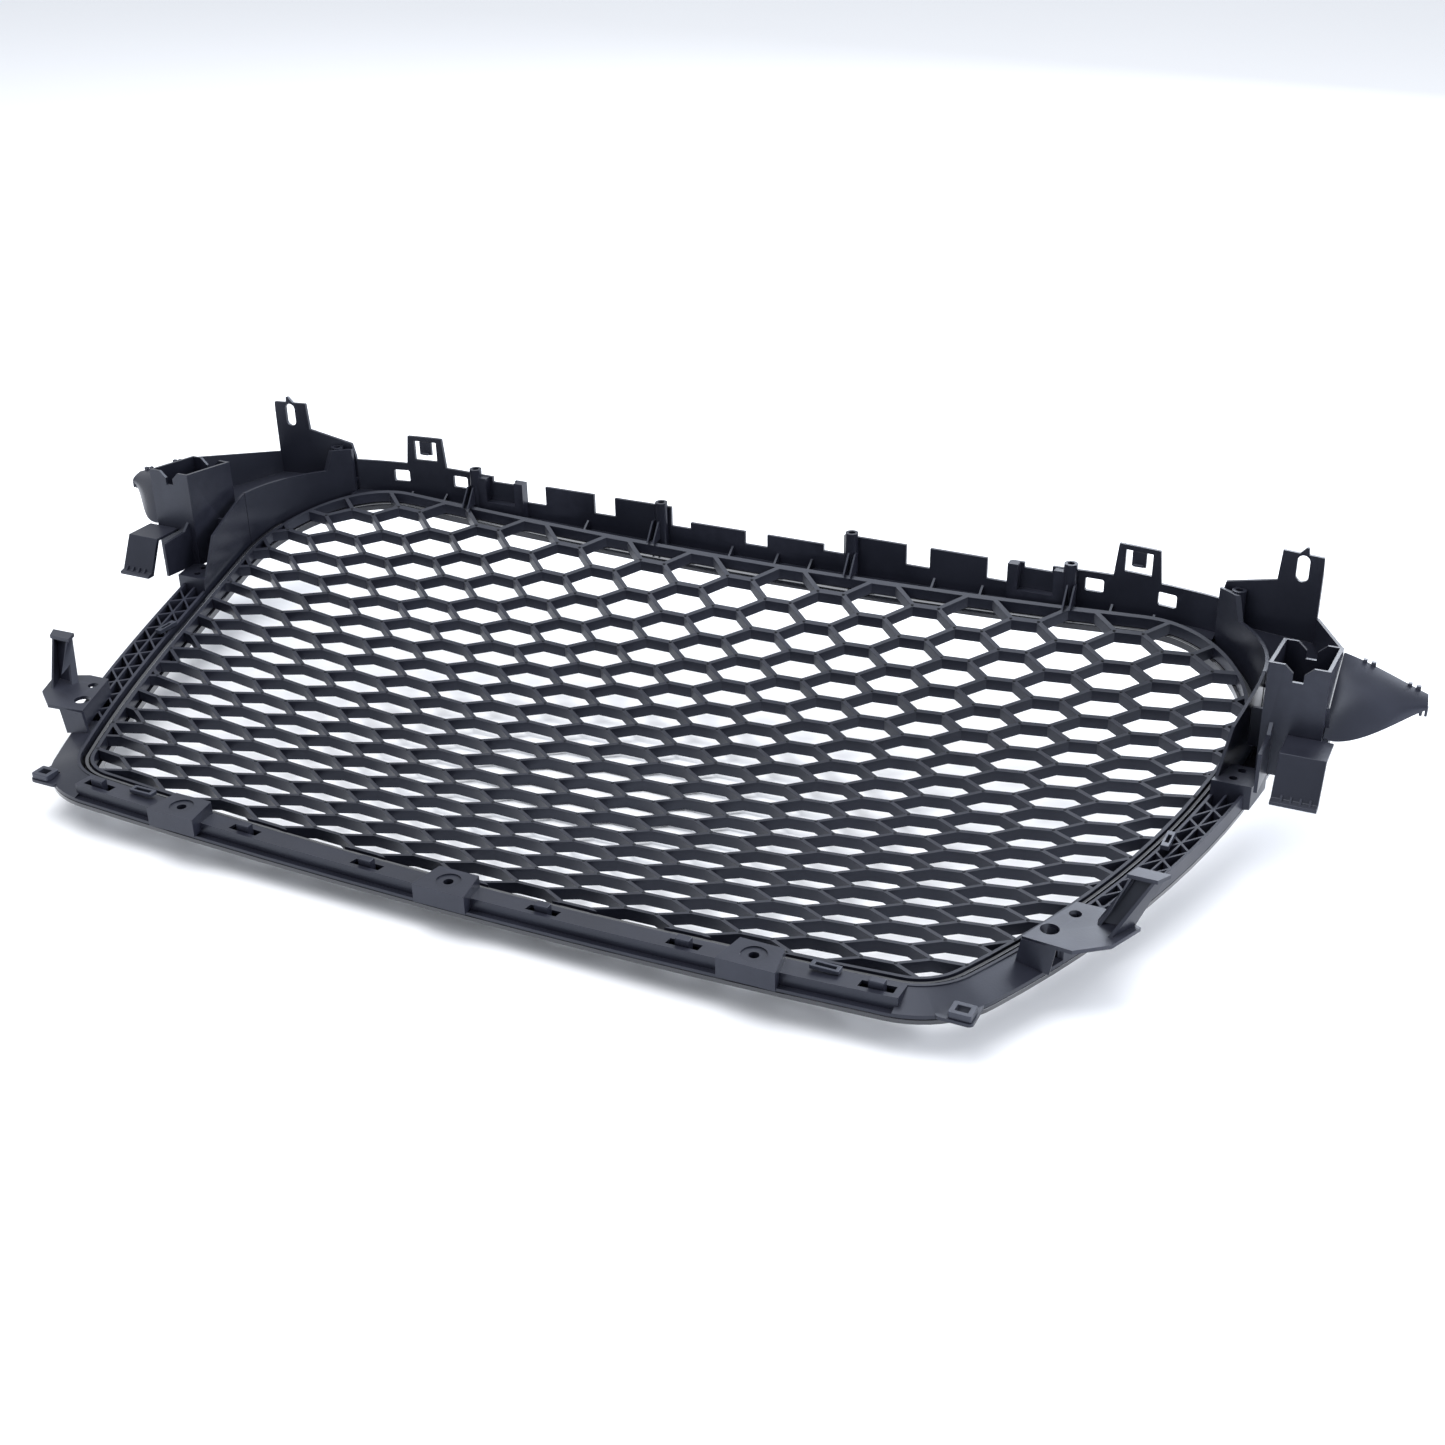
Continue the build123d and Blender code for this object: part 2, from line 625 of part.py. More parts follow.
with BuildSketch(upright(150)) as wall_face:
    with BuildLine():
        end = TOP_RAIL_END
        rim = ThreePointArc(
            (-end, shelf_height(end) - SHELF_THICK),
            (0, SHELF_Z - SHELF_THICK),
            (end, shelf_height(end) - SHELF_THICK),
        )
        Polyline(rim @ 0, (-end, WALL_END), (-WALL_STEP, WALL_NEAR), (-WALL_STEP, NOTCH_Z),
                 (WALL_STEP, NOTCH_Z), (WALL_STEP, WALL_NEAR), (end, WALL_END), rim @ 1)
    make_face()
    with Locations((0, NOTCH_Z)):
        Rectangle(2 * MERLONS[0][0], 2 * CENTRE_DIP, mode=Mode.SUBTRACT)
    for x0, x1, top in MERLONS:
        for side in (-1, 1):
            with Locations((side * (x0 + x1) / 2, NOTCH_Z)):
                Rectangle(x1 - x0, 2 * (top - NOTCH_Z))
    for side in (-1, 1):
        with BuildLine():
            foot, head = TAB_WIDTH
            tab = [(-foot / 2, 0), (-head / 2, TAB_TOP - TAB_FOOT)]
            tab += [(head / 2, TAB_TOP - TAB_FOOT), (foot / 2, 0)]
            Polyline(*[(side * TAB_X + x, TAB_FOOT - 2 + y) for x, y in tab], close=True)
        make_face()
        with Locations((side * TAB_X, (SLOT_BOTTOM + SLOT_TOP) / 2)):
            Rectangle(SLOT_WIDTH, SLOT_TOP - SLOT_BOTTOM, mode=Mode.SUBTRACT)
        with Locations(*[(side * x, TOP_WINDOW_Z) for x in TOP_WINDOW_X]):
            RectangleRounded(*TOP_WINDOW_SIZE, 1.5, mode=Mode.SUBTRACT)
        with Locations((side * POCKET_MIDDLE, POCKET_SILL)):
            Rectangle(POCKET_GAP, 2 * POCKET_DIP, align=(Align.CENTER, Align.MIN),
                      mode=Mode.SUBTRACT)

wall_band = extrude(wall_plan(0) - wall_plan(-TOP_WALL), amount=FAR / 2)
wall_prism = extrude(wall_face.sketch, amount=-FAR / 4)

gusset_prism = extrude(wall_plan(-1), amount=FAR / 2)

with BuildPart() as gussets:
    for x in GUSSET_X:
        sit = shelf_height(x)
        with BuildSketch(lengthwise(x - GUSSET_THICK / 2)):
            with BuildLine():
                Polyline(
                    (212, sit - 1), (230, sit - 1), (230, sit + 8), (223, sit + 7), close=True
                )
            make_face()
        extrude(amount=GUSSET_THICK)
    add(gusset_prism, mode=Mode.INTERSECT)

with BuildPart() as bosses:
    for x, y, top in BOSSES:
        for side in (-1, 1):
            with BuildSketch(DATUM.offset(shelf_height(x) - SHELF_THICK / 2)):
                with Locations((side * x, y)):
                    Circle(BOSS_D / 2)
            extrude(amount=top - shelf_height(x) + SHELF_THICK / 2)
with BuildPart() as boss_bores:
    for x, y, top in BOSSES:
        for side in (-1, 1):
            with BuildSketch(DATUM.offset(top)):
                with Locations((side * x, y)):
                    Circle(BOSS_BORE_D / 2)
            extrude(amount=-BOSS_BORE_DEPTH)

with BuildPart() as pockets:
    for x in POCKET_X:
        for side in (-1, 1):
            with BuildSketch(DATUM.offset(shelf_height(x) - 1)):
                with Locations((side * x, POCKET_Y)):
                    Rectangle(*POCKET_CHEEK)
            extrude(amount=POCKET_TOP - shelf_height(x) + 1)
    for side in (-1, 1):
        with BuildSketch(DATUM.offset(shelf_height(POCKET_MIDDLE) - 1)):
            with Locations((side * POCKET_MIDDLE, POCKET_Y)):
                Rectangle(POCKET_X[1] - POCKET_X[0], POCKET_CHEEK[1])
        extrude(amount=POCKET_SHELF)

top_rail = shelf.part + (wall_band & wall_prism) + gussets.part + bosses.part + pockets.part
save(top_rail - boss_bores.part, "top_rail")

with BuildPart() as latch_tongue:
    with BuildSketch(upright(150)):
        with Locations((TAB_X, (TONGUE_BOTTOM + SLOT_TOP - TONGUE_GAP) / 2)):
            Rectangle(TONGUE_WIDTH, SLOT_TOP - TONGUE_GAP - TONGUE_BOTTOM)
    extrude(amount=-FAR / 4)
    add(wall_band, mode=Mode.INTERSECT)
save_pair(latch_tongue.part, "latch_tongue")


# ---- guide sockets ----


def notch(y, rim):
    """V notch with a slot at its foot, cut through the socket wall at y."""
    middle = sum(SOCKET_X) / 2
    half = NOTCH_WIDTH / 2
    slot = NOTCH_SLOT_WIDTH / 2
    with BuildPart(mode=Mode.PRIVATE) as cutter:
        with BuildSketch(upright(y - SOCKET_WALL)):
            with BuildLine():
                Polyline(
                    (middle - half, rim + 1),
                    (middle - half, rim),
                    (middle - slot, rim - NOTCH_SHOULDER),
                    (middle - slot, rim - NOTCH_DEPTH),
                    (middle + slot, rim - NOTCH_DEPTH),
                    (middle + slot, rim - NOTCH_SHOULDER),
                    (middle + half, rim),
                    (middle + half, rim + 1),
                    close=True,
                )
            make_face()
        extrude(amount=-2 * SOCKET_WALL)
    return cutter.part


socket_notches = notch(SOCKET_Y[0], SOCKET_RIM[0]) + notch(SOCKET_Y[1], SOCKET_RIM[1])

with BuildPart() as guide_socket:
    (x0, x1), (y0, y1) = SOCKET_X, SOCKET_Y
    front_rim, back_rim = SOCKET_RIM
    with BuildSketch(lengthwise(x0)):
        with BuildLine():
            Polyline(
                (y0, SOCKET_FOOT), (y0, front_rim), (y1, back_rim), (y1, SOCKET_FOOT), close=True
            )
        make_face()
    extrude(amount=x1 - x0)
    with BuildSketch(DATUM.offset(SOCKET_FLOOR_Z)):
        with Locations(((x0 + x1) / 2, (y0 + y1) / 2)):
            Rectangle(x1 - x0 - 2 * SOCKET_WALL, y1 - y0 - 2 * SOCKET_WALL)
    extrude(amount=FAR / 4, mode=Mode.SUBTRACT)
    with BuildSketch(DATUM.offset(SOCKET_FLOOR_Z - SOCKET_WALL)):
        with Locations(((x0 + x1) / 2, (y0 + y1) / 2)):
            Rectangle(x1 - x0 - 2 * SOCKET_WALL, y1 - y0 - 2 * SOCKET_WALL)
    extrude(amount=-FAR / 4, mode=Mode.SUBTRACT)
    add(socket_notches, mode=Mode.SUBTRACT)
    with BuildSketch(lengthwise(FLANGE_X)):
        with BuildLine():
            Polyline(
                (y0 + SOCKET_WALL / 2, SOCKET_FOOT),
                (FLANGE_Y, SOCKET_FOOT + 2),
                (FLANGE_Y, FLANGE_TOP),
                (y0 - 6, FLANGE_TOP + 1.5),
                (y0 + SOCKET_WALL / 2, FLANGE_TOP + 8),
                close=True,
            )
        make_face()
    extrude(amount=SOCKET_WALL)

head_plan = band(RAIL_GAP, RAIL_OUT + 4)
head_wall_plan = band(RAIL_GAP, RAIL_GAP + WALL)
head_zone = keep_box((300, FLANGE_X + SOCKET_WALL), (SIDE_RAIL_END + GAP / 2, SOCKET_Y[0] + 2))
with BuildPart() as rail_head:
    add(head_plan)
    extrude(amount=HEAD_TOP + 60)
    add(curved_slab(rail_foot, 60) & head_zone, mode=Mode.INTERSECT)
    for x, y in HEAD_HOLES:
        with Locations((x, y + DATUM_Y, DATUM_Z + HEAD_TOP - HEAD_HOLE_DEPTH / 2)):
            Cylinder(HEAD_HOLE_D / 2, HEAD_HOLE_DEPTH, mode=Mode.SUBTRACT)

# the rail's inner wall runs on past the socket to the ear's housing
wall_zone = keep_box((300, SOCKET_X[0] + 1), (SIDE_RAIL_END + GAP / 2, SOCKET_Y[1]))
with BuildPart() as socket_side:
    add(head_wall_plan)
    extrude(amount=FAR / 2)
    add(curved_slab(rail_foot, 60) & wall_zone, mode=Mode.INTERSECT)
    with BuildSketch(lengthwise(300)):
        with BuildLine():
            Polyline(
                (SIDE_RAIL_END, 0),
                (SIDE_RAIL_END, HEAD_TOP - 8),
                (SOCKET_Y[0], SIDE_WALL_RISE),
                (SOCKET_Y[1], HOUSING_LOW_WALL),
                (SOCKET_Y[1], 0),
                close=True,
            )
        make_face()
    extrude(amount=FAR / 2, mode=Mode.INTERSECT)
with BuildPart() as socket_tie:
    with Locations((sum(TIE_X) / 2, TIE_Y + DATUM_Y, DATUM_Z + sum(TIE_Z) / 2)):
        Box(TIE_X[1] - TIE_X[0], SOCKET_WALL, TIE_Z[1] - TIE_Z[0])
socket = guide_socket.part + rail_head.part + socket_side.part + socket_tie.part
save_pair(socket, "guide_socket")


# ---- clip plates hung in front of the sockets ----

with BuildPart() as clip_plate:
    with BuildSketch(lengthwise(CLIP_X[0])):
        with BuildLine():
            (bend_y, bend_z), (foot_y, foot_z) = CLIP_TOP, CLIP_FOOT
            Polyline(
                (SOCKET_Y[0] - GAP / 2, bend_z),
                (bend_y, bend_z),
                (foot_y, foot_z),
                (foot_y - CLIP_LIP, foot_z - 1),
                (foot_y - CLIP_LIP, foot_z - 1 - CLIP_THICK),
                (foot_y + CLIP_THICK, foot_z - 1 - CLIP_THICK),
                (bend_y + CLIP_THICK, bend_z - CLIP_THICK),
                (SOCKET_Y[0] - GAP / 2, bend_z - CLIP_THICK),
                close=True,
            )
        make_face()
    extrude(amount=CLIP_X[1] - CLIP_X[0])
save_pair(clip_plate.part, "clip_plate")


# ---- ear housings ----

ear_middle = (EAR_FOOT[0] + EAR_END[0]) / 2
with BuildPart() as mounting_ear:
    with BuildSketch(DATUM.offset(HOUSING_FOOT)):
        with BuildLine():
            Polyline((TOP_RAIL_END + GAP / 2, 208.0), EAR_FOOT, EAR_END)
        trace(line_width=HOUSING_WALL)
    extrude(amount=EAR_TOP + EAR_SPIKE - HOUSING_FOOT)
    with BuildSketch(upright(150)):
        with BuildLine():
            Polyline(
                (TOP_RAIL_END + GAP / 2, 0),
                (TOP_RAIL_END + GAP / 2, HOUSING_TOP - 12),
                (TOP_RAIL_END + 3, HOUSING_TOP),
                (EAR_FOOT[0], EAR_SHOULDER),
                (EAR_FOOT[0] + 1.5, EAR_TOP),
                (ear_middle - 2, EAR_TOP),
                (ear_middle + 2, EAR_TOP + EAR_SPIKE),
                (ear_middle + 3.5, EAR_TOP + EAR_SPIKE),
                (ear_middle + 4, EAR_TOP),
                (EAR_END[0] - 0.5, EAR_TOP),
                (EAR_END[0] + 1.5, SIDE_WALL_END_Z),
                (EAR_END[0] + 1.5, 0),
                close=True,
            )
        make_face()
        with Locations((ear_middle + 1, EAR_SLOT_Z)):
            SlotOverall(*EAR_SLOT, rotation=90, mode=Mode.SUBTRACT)
    extrude(amount=-FAR / 4, mode=Mode.INTERSECT)

with BuildPart() as ear_side_wall:
    with BuildSketch(DATUM.offset(HOUSING_FOOT)):
        with BuildLine():
            Line(EAR_END, (SOCKET_X[1] - HOUSING_WALL / 2, SOCKET_Y[1] + GAP))
        trace(line_width=HOUSING_WALL)
    extrude(amount=EAR_TOP - HOUSING_FOOT)
    with BuildSketch(lengthwise(380)):
        with BuildLine():
            Polyline((SOCKET_Y[1] + GAP, 0), (SOCKET_Y[1] + GAP, SOCKET_RIM[1] - 1),
                     (EAR_END[1] + 3, SIDE_WALL_END_Z), (EAR_END[1] + 3, 0), close=True)
        make_face()
    extrude(amount=FAR / 4, mode=Mode.INTERSECT)

housing_zone = keep_box((TOP_RAIL_END + GAP / 2, 440), (SOCKET_Y[1] + GAP, 240))
housing_plan = band(RAIL_GAP, RAIL_GAP + HOUSING_WALL)
with BuildPart() as housing_inner_wall:
    add(housing_plan)
    extrude(amount=FAR / 2)
    add(curved_slab(rail_foot, 70) & housing_zone, mode=Mode.INTERSECT)
    with BuildSketch(lengthwise(300)):
        with BuildLine():
            Polyline(
                (SOCKET_Y[1], 0),
                (SOCKET_Y[1], HOUSING_LOW_WALL),
                (INNER_STEP_Y, HOUSING_LOW_WALL),
                (INNER_STEP_Y + 4, HOUSING_BOSS_TOP - 1),
                (240, HOUSING_BOSS_TOP - 1),
                (240, 0),
                close=True,
            )
        make_face()
    extrude(amount=FAR / 2, mode=Mode.INTERSECT)

with BuildPart() as housing_floor:
    with BuildSketch(DATUM.offset(HOUSING_FLOOR)):
        with BuildLine():
            Polyline((TOP_RAIL_END + GAP / 2, 207.0), EAR_FOOT, EAR_END,
                     (SOCKET_X[1] - HOUSING_WALL / 2, SOCKET_Y[1] + GAP),
                     (TOP_RAIL_END + GAP / 2, SOCKET_Y[1] + GAP), close=True)
        make_face()
    extrude(amount=HOUSING_WALL)
floor_trim = extrude(outline(RAIL_GAP), amount=FAR / 2)

with BuildPart() as housing_boss:
    x, y = HOUSING_BOSS
    with BuildSketch(DATUM.offset(HOUSING_FLOOR)):
        with Locations((x, y)):
            Circle(BOSS_D / 2)
    extrude(amount=HOUSING_BOSS_TOP - HOUSING_FLOOR)
    with BuildSketch(DATUM.offset(HOUSING_BOSS_TOP)):
        with Locations((x, y)):
            Circle(BOSS_BORE_D / 2)
    extrude(amount=-BOSS_BORE_DEPTH, mode=Mode.SUBTRACT)

ear = mounting_ear.part + ear_side_wall.part + housing_inner_wall.part
ear += (housing_floor.part - floor_trim) + housing_boss.part
save_pair(ear, "mounting_ear")


# ---- air deflectors ----


def plate(corners):
    """Sloping plate under a triangle of corners, with upright edges."""
    points = [Vector(x, y + DATUM_Y, z + DATUM_Z) for x, y, z in corners]
    face = Face(Wire.make_polygon(points, close=True))
    return extrude(face, amount=WING_THICK, dir=(0, 0, -1))


wing = plate([WING_ROOT_BACK, WING_TOP, WING_CREASE])
wing += plate([WING_TOP, WING_TIP, WING_KNEE])
wing += plate([WING_TOP, WING_KNEE, WING_CREASE])
wing += plate([WING_CREASE, WING_KNEE, WING_ROOT_FRONT])
save_pair(wing, "air_deflector")


# ---- lower brackets ----

with BuildPart() as lower_bracket:
    with BuildSketch(DATUM.offset(BRACKET_TOP)):
        with BuildLine():
            Polyline(*BRACKET_OUTLINE, close=True)
        make_face()
        for x, y, diameter in (SMALL_HOLE, LARGE_HOLE):
            with Locations((x, y)):
                Circle(diameter / 2, mode=Mode.SUBTRACT)
    extrude(amount=-BRACKET_THICK)

rail_prism = extrude(band(RAIL_GAP, RAIL_OUT), amount=FAR / 2)

with BuildPart() as bracket_pillar:
    with BuildSketch(DATUM.offset(0)):
        with BuildLine():
            Polyline(*BRACKET_OUTLINE, close=True)
        make_face()
        offset(amount=-WALL, mode=Mode.SUBTRACT)
        for x, y, diameter in (SMALL_HOLE, LARGE_HOLE):
            with Locations((x, y)):
                Circle(diameter / 2 + GAP, mode=Mode.SUBTRACT)
    extrude(amount=BRACKET_TOP - BRACKET_THICK / 2)
    add(curved_slab(RAIL_TOP + GAP / 2, 60), mode=Mode.INTERSECT)
    add(rail_prism, mode=Mode.INTERSECT)

# its front stands on the sloping flange and spreads a little towards its foot
with BuildPart() as pillar_front:
    with BuildSketch(upright(PILLAR_Y)):
        with BuildLine():
            Polyline(
                (PILLAR_FOOT_X[0], PILLAR_FOOT_Z),
                (PILLAR_FOOT_X[1], PILLAR_FOOT_Z),
                (PILLAR_TOP_X[1], BRACKET_TOP - BRACKET_THICK / 2),
                (PILLAR_TOP_X[0], BRACKET_TOP - BRACKET_THICK / 2),
                close=True,
            )
        make_face()
    extrude(amount=-WALL)
bracket_front = pillar_front.part - corner_slab(-60, GAP / 2)


def tower(foot, head, inset, top, sink=0.0):
    """Solid between a four-cornered foot and a four-cornered head."""
    rings = []
    for corners, height in ((foot, BRACKET_TOP - BRACKET_THICK / 2 - sink), (head, top)):
        with BuildSketch(DATUM.offset(height), mode=Mode.PRIVATE) as ring:
            with BuildLine():
                Polyline(*corners, close=True)
            make_face()
            if inset:
                offset(amount=-inset, kind=Kind.INTERSECTION)
        rings.append(ring.sketch.face())
    return Solid.make_loft([face.outer_wire() for face in rings], True)


hook_body = tower(HOOK_FOOT, HOOK_HEAD, HOOK_RIM, HOOK_TOP - HOOK_PLATE / 2)
hook_hollow = tower(HOOK_FOOT, HOOK_HEAD, HOOK_RIM + HOOK_WALL, HOOK_TOP - HOOK_PLATE)
open_front = Pos(-HOOK_WALL, -HOOK_WALL * 2, 0) * hook_hollow
with BuildPart() as hook_plate:
    with BuildSketch(DATUM.offset(HOOK_TOP)):
        with BuildLine():
            Polyline(*HOOK_HEAD, close=True)
        make_face()
    extrude(amount=-HOOK_PLATE)
bracket_hook = hook_plate.part + (hook_body - hook_hollow - open_front)
bracket = lower_bracket.part + bracket_pillar.part + bracket_front + bracket_hook
save_pair(bracket, "lower_bracket")


# ---- side snap clips, on the rails' middle ribs ----

with BuildPart() as side_clip:
    x, y = SIDE_CLIP
    with BuildSketch(DATUM.offset(rear_height(x, y) + RAIL_TOP + 2 * GAP)):
        with Locations((x, y)):
            Rectangle(*SIDE_CLIP_SIZE)
            Rectangle(*SIDE_CLIP_HOLE, mode=Mode.SUBTRACT)
    extrude(amount=SIDE_CLIP_THICK)
save(side_clip.part + mirror(side_clip.part, about=Plane.YZ), "side_snap_clips")
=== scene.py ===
import json
import math

import bmesh
import bpy
from bpy.props import FloatProperty, FloatVectorProperty, IntProperty, PointerProperty
from mathutils import Matrix, Vector
from mathutils.bvhtree import BVHTree


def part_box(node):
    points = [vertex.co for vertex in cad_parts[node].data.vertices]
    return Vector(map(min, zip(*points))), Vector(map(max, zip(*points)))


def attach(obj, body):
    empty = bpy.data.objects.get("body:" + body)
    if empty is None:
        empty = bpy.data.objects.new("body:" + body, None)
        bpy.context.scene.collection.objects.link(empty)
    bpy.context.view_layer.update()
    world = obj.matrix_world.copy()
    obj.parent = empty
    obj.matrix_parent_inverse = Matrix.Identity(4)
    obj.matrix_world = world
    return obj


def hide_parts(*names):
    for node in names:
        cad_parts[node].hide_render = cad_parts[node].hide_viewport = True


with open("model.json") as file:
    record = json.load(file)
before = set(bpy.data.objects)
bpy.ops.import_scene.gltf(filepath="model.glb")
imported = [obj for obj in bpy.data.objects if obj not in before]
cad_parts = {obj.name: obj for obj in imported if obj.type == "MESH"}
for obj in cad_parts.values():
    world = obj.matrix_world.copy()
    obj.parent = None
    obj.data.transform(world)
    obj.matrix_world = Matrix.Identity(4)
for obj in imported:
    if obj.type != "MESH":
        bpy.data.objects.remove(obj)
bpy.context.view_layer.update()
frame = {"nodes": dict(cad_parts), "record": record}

bl_info = {
    "name": "Front Grille Maker",
    "version": (1, 0, 0),
    "blender": (4, 5, 0),
    "location": "View3D > Sidebar > Grille",
    "description": "Finishes a honeycomb front grille around its fixed frame",
    "category": "Add Mesh",
}

MM = 0.001
CARRIER = "carrier"


# ---- settings ----


class GrilleMeshSettings(bpy.types.PropertyGroup):
    """Sizes of the honeycomb mesh."""

    column_pitch: FloatProperty(
        name="Column pitch", description="From one column of cells to the next",
        default=0.036, unit="LENGTH",
    )
    row_pitch: FloatProperty(
        name="Row pitch", description="From one row to the next, at the middle",
        default=0.0234, unit="LENGTH",
    )
    row_stretch: FloatProperty(
        name="Row stretch", description="How the rows open out towards the top",
        default=0.000118, unit="LENGTH",
    )
    level_edge: FloatProperty(
        name="Level edge", description="Length of a cell's level edge",
        default=0.0197, unit="LENGTH",
    )
    pin_radius: FloatProperty(
        name="Pin radius", description="Ejector mark at each joint of the ribs",
        default=0.0013, unit="LENGTH",
    )
    edge_round: FloatProperty(
        name="Edge round", description="Rounding of the ribs' edges", default=0.00045, unit="LENGTH"
    )


class GrilleCarrierSettings(bpy.types.PropertyGroup):
    """Sizes of the moulded carrier's finish."""

    edge_round: FloatProperty(
        name="Edge round", description="Rounding of the moulding's edges",
        default=0.0004, unit="LENGTH",
    )
    rib_thickness: FloatProperty(
        name="Rib thickness", description="Thickness of the small stiffening ribs",
        default=0.0012, unit="LENGTH",
    )
    deflector_wall: FloatProperty(
        name="Deflector wall", description="Thickness of the deflector shells",
        default=0.0019, unit="LENGTH",
    )
    deflector_steps: IntProperty(
        name="Deflector steps", description="Divisions along a deflector", default=28, min=4
    )


class GrilleFinishSettings(bpy.types.PropertyGroup):
    """Colours of the plastics."""

    mesh_colour: FloatVectorProperty(
        name="Mesh colour", description="Mesh plastic",
        size=3, subtype="COLOR", default=(0.0080, 0.0088, 0.0150),
    )
    carrier_colour: FloatVectorProperty(
        name="Carrier colour", description="Carrier plastic",
        size=3, subtype="COLOR", default=(0.0090, 0.0098, 0.0165),
    )
    ring_colour: FloatVectorProperty(
        name="Ring colour", description="Gloss ring",
        size=3, subtype="COLOR", default=(0.0030, 0.0030, 0.0045),
    )
    clip_colour: FloatVectorProperty(
        name="Clip colour", description="Small clips",
        size=3, subtype="COLOR", default=(0.020, 0.022, 0.032),
    )
    floor_colour: FloatVectorProperty(
        name="Floor colour", description="Studio floor",
        size=3, subtype="COLOR", default=(0.93, 0.94, 0.97),
    )


# ---- node groups shared by the plastics ----


def new_group(name, inputs, outputs):
    """Empty shader node group with the named float inputs and outputs."""
    group = bpy.data.node_groups.new(name, "ShaderNodeTree")
    for label, value in inputs:
        socket = group.interface.new_socket(
            name=label, in_out="INPUT", socket_type="NodeSocketFloat"
        )
        socket.default_value = value
    for label, kind in outputs:
        group.interface.new_socket(name=label, in_out="OUTPUT", socket_type=kind)
    return group, group.nodes.new("NodeGroupInput"), group.nodes.new("NodeGroupOutput")


def node(tree, kind, **values):
    """Add a node and set its plain attributes."""
    made = tree.nodes.new(kind)
    for key, value in values.items():
        setattr(made, key, value)
    return made


def grain_group():
    """Fine spark-eroded grain of a moulded surface, as a height."""
    group, inlet, outlet = new_group(
        "moulded_grain", [("Scale", 900.0), ("Coarse", 0.35)], [("Height", "NodeSocketFloat")]
    )
    link = group.links.new
    place = node(group, "ShaderNodeTexCoord")
    fine = node(group, "ShaderNodeTexNoise")
    fine.inputs["Detail"].default_value = 3.0
    fine.inputs["Roughness"].default_value = 0.65
    pits = node(group, "ShaderNodeTexVoronoi", feature="SMOOTH_F1")
    pits.inputs["Smoothness"].default_value = 0.6
    mix = node(group, "ShaderNodeMix", data_type="FLOAT")
    link(place.outputs["Object"], fine.inputs["Vector"])
    link(place.outputs["Object"], pits.inputs["Vector"])
    link(inlet.outputs["Scale"], fine.inputs["Scale"])
    link(inlet.outputs["Scale"], pits.inputs["Scale"])
    link(inlet.outputs["Coarse"], mix.inputs["Factor"])
    link(fine.outputs["Fac"], mix.inputs["A"])
    link(pits.outputs["Distance"], mix.inputs["B"])
    link(mix.outputs["Result"], outlet.inputs["Height"])
    return group


def flow_group():
    """Broad, faint clouding that melt flow leaves in dark plastic, as a value."""
    group, inlet, outlet = new_group(
        "flow_clouding", [("Scale", 9.0)], [("Value", "NodeSocketFloat")]
    )
    link = group.links.new
    place = node(group, "ShaderNodeTexCoord")
    cloud = node(group, "ShaderNodeTexNoise")
    cloud.inputs["Detail"].default_value = 4.0
    cloud.inputs["Distortion"].default_value = 0.8
    levels = node(group, "ShaderNodeMapRange")
    levels.inputs["From Min"].default_value = 0.3
    levels.inputs["From Max"].default_value = 0.7
    link(place.outputs["Object"], cloud.inputs["Vector"])
    link(inlet.outputs["Scale"], cloud.inputs["Scale"])
    link(cloud.outputs["Fac"], levels.inputs["Value"])
    link(levels.outputs["Result"], outlet.inputs["Value"])
    return group


def edge_highlight_group():
    """Painted edge highlight: a mask from the sharpness of the surface, broken up by noise, for a
    lighter colour painted on sharp edges.
    """
    group, inlet, outlet = new_group(
        "painted_edge_highlight", [("Low", 0.52), ("High", 0.60)], [("Mask", "NodeSocketFloat")]
    )
    link = group.links.new
    shape = node(group, "ShaderNodeNewGeometry")
    levels = node(group, "ShaderNodeMapRange")
    place = node(group, "ShaderNodeTexCoord")
    breakup = node(group, "ShaderNodeTexNoise")
    breakup.inputs["Scale"].default_value = 120.0
    breakup.inputs["Detail"].default_value = 2.0
    product = node(group, "ShaderNodeMath", operation="MULTIPLY")
    link(shape.outputs["Pointiness"], levels.inputs["Value"])
    link(inlet.outputs["Low"], levels.inputs["From Min"])
    link(inlet.outputs["High"], levels.inputs["From Max"])
    link(place.outputs["Object"], breakup.inputs["Vector"])
    link(levels.outputs["Result"], product.inputs[0])
    link(breakup.outputs["Fac"], product.inputs[1])
    link(product.outputs["Value"], outlet.inputs["Mask"])
    return group


def dust_group():
    """Thin dust on faces that look upwards, as a mask."""
    group, inlet, outlet = new_group(
        "settled_dust", [("Amount", 0.15)], [("Mask", "NodeSocketFloat")]
    )
    link = group.links.new
    shape = node(group, "ShaderNodeNewGeometry")
    split = node(group, "ShaderNodeSeparateXYZ")
    facing = node(group, "ShaderNodeMapRange")
    facing.inputs["From Min"].default_value = 0.5
    facing.inputs["From Max"].default_value = 1.0
    place = node(group, "ShaderNodeTexCoord")
    patches = node(group, "ShaderNodeTexNoise")
    patches.inputs["Scale"].default_value = 45.0
    patches.inputs["Detail"].default_value = 6.0
    first = node(group, "ShaderNodeMath", operation="MULTIPLY")
    second = node(group, "ShaderNodeMath", operation="MULTIPLY")
    link(shape.outputs["Normal"], split.inputs["Vector"])
    link(split.outputs["Z"], facing.inputs["Value"])
    link(place.outputs["Object"], patches.inputs["Vector"])
    link(facing.outputs["Result"], first.inputs[0])
    link(patches.outputs["Fac"], first.inputs[1])
    link(first.outputs["Value"], second.inputs[0])
    link(inlet.outputs["Amount"], second.inputs[1])
    link(second.outputs["Value"], outlet.inputs["Mask"])
    return group


def shared_group(name, maker):
    """The node group of that name, built the first time it is asked for."""
    return bpy.data.node_groups.get(name) or maker()


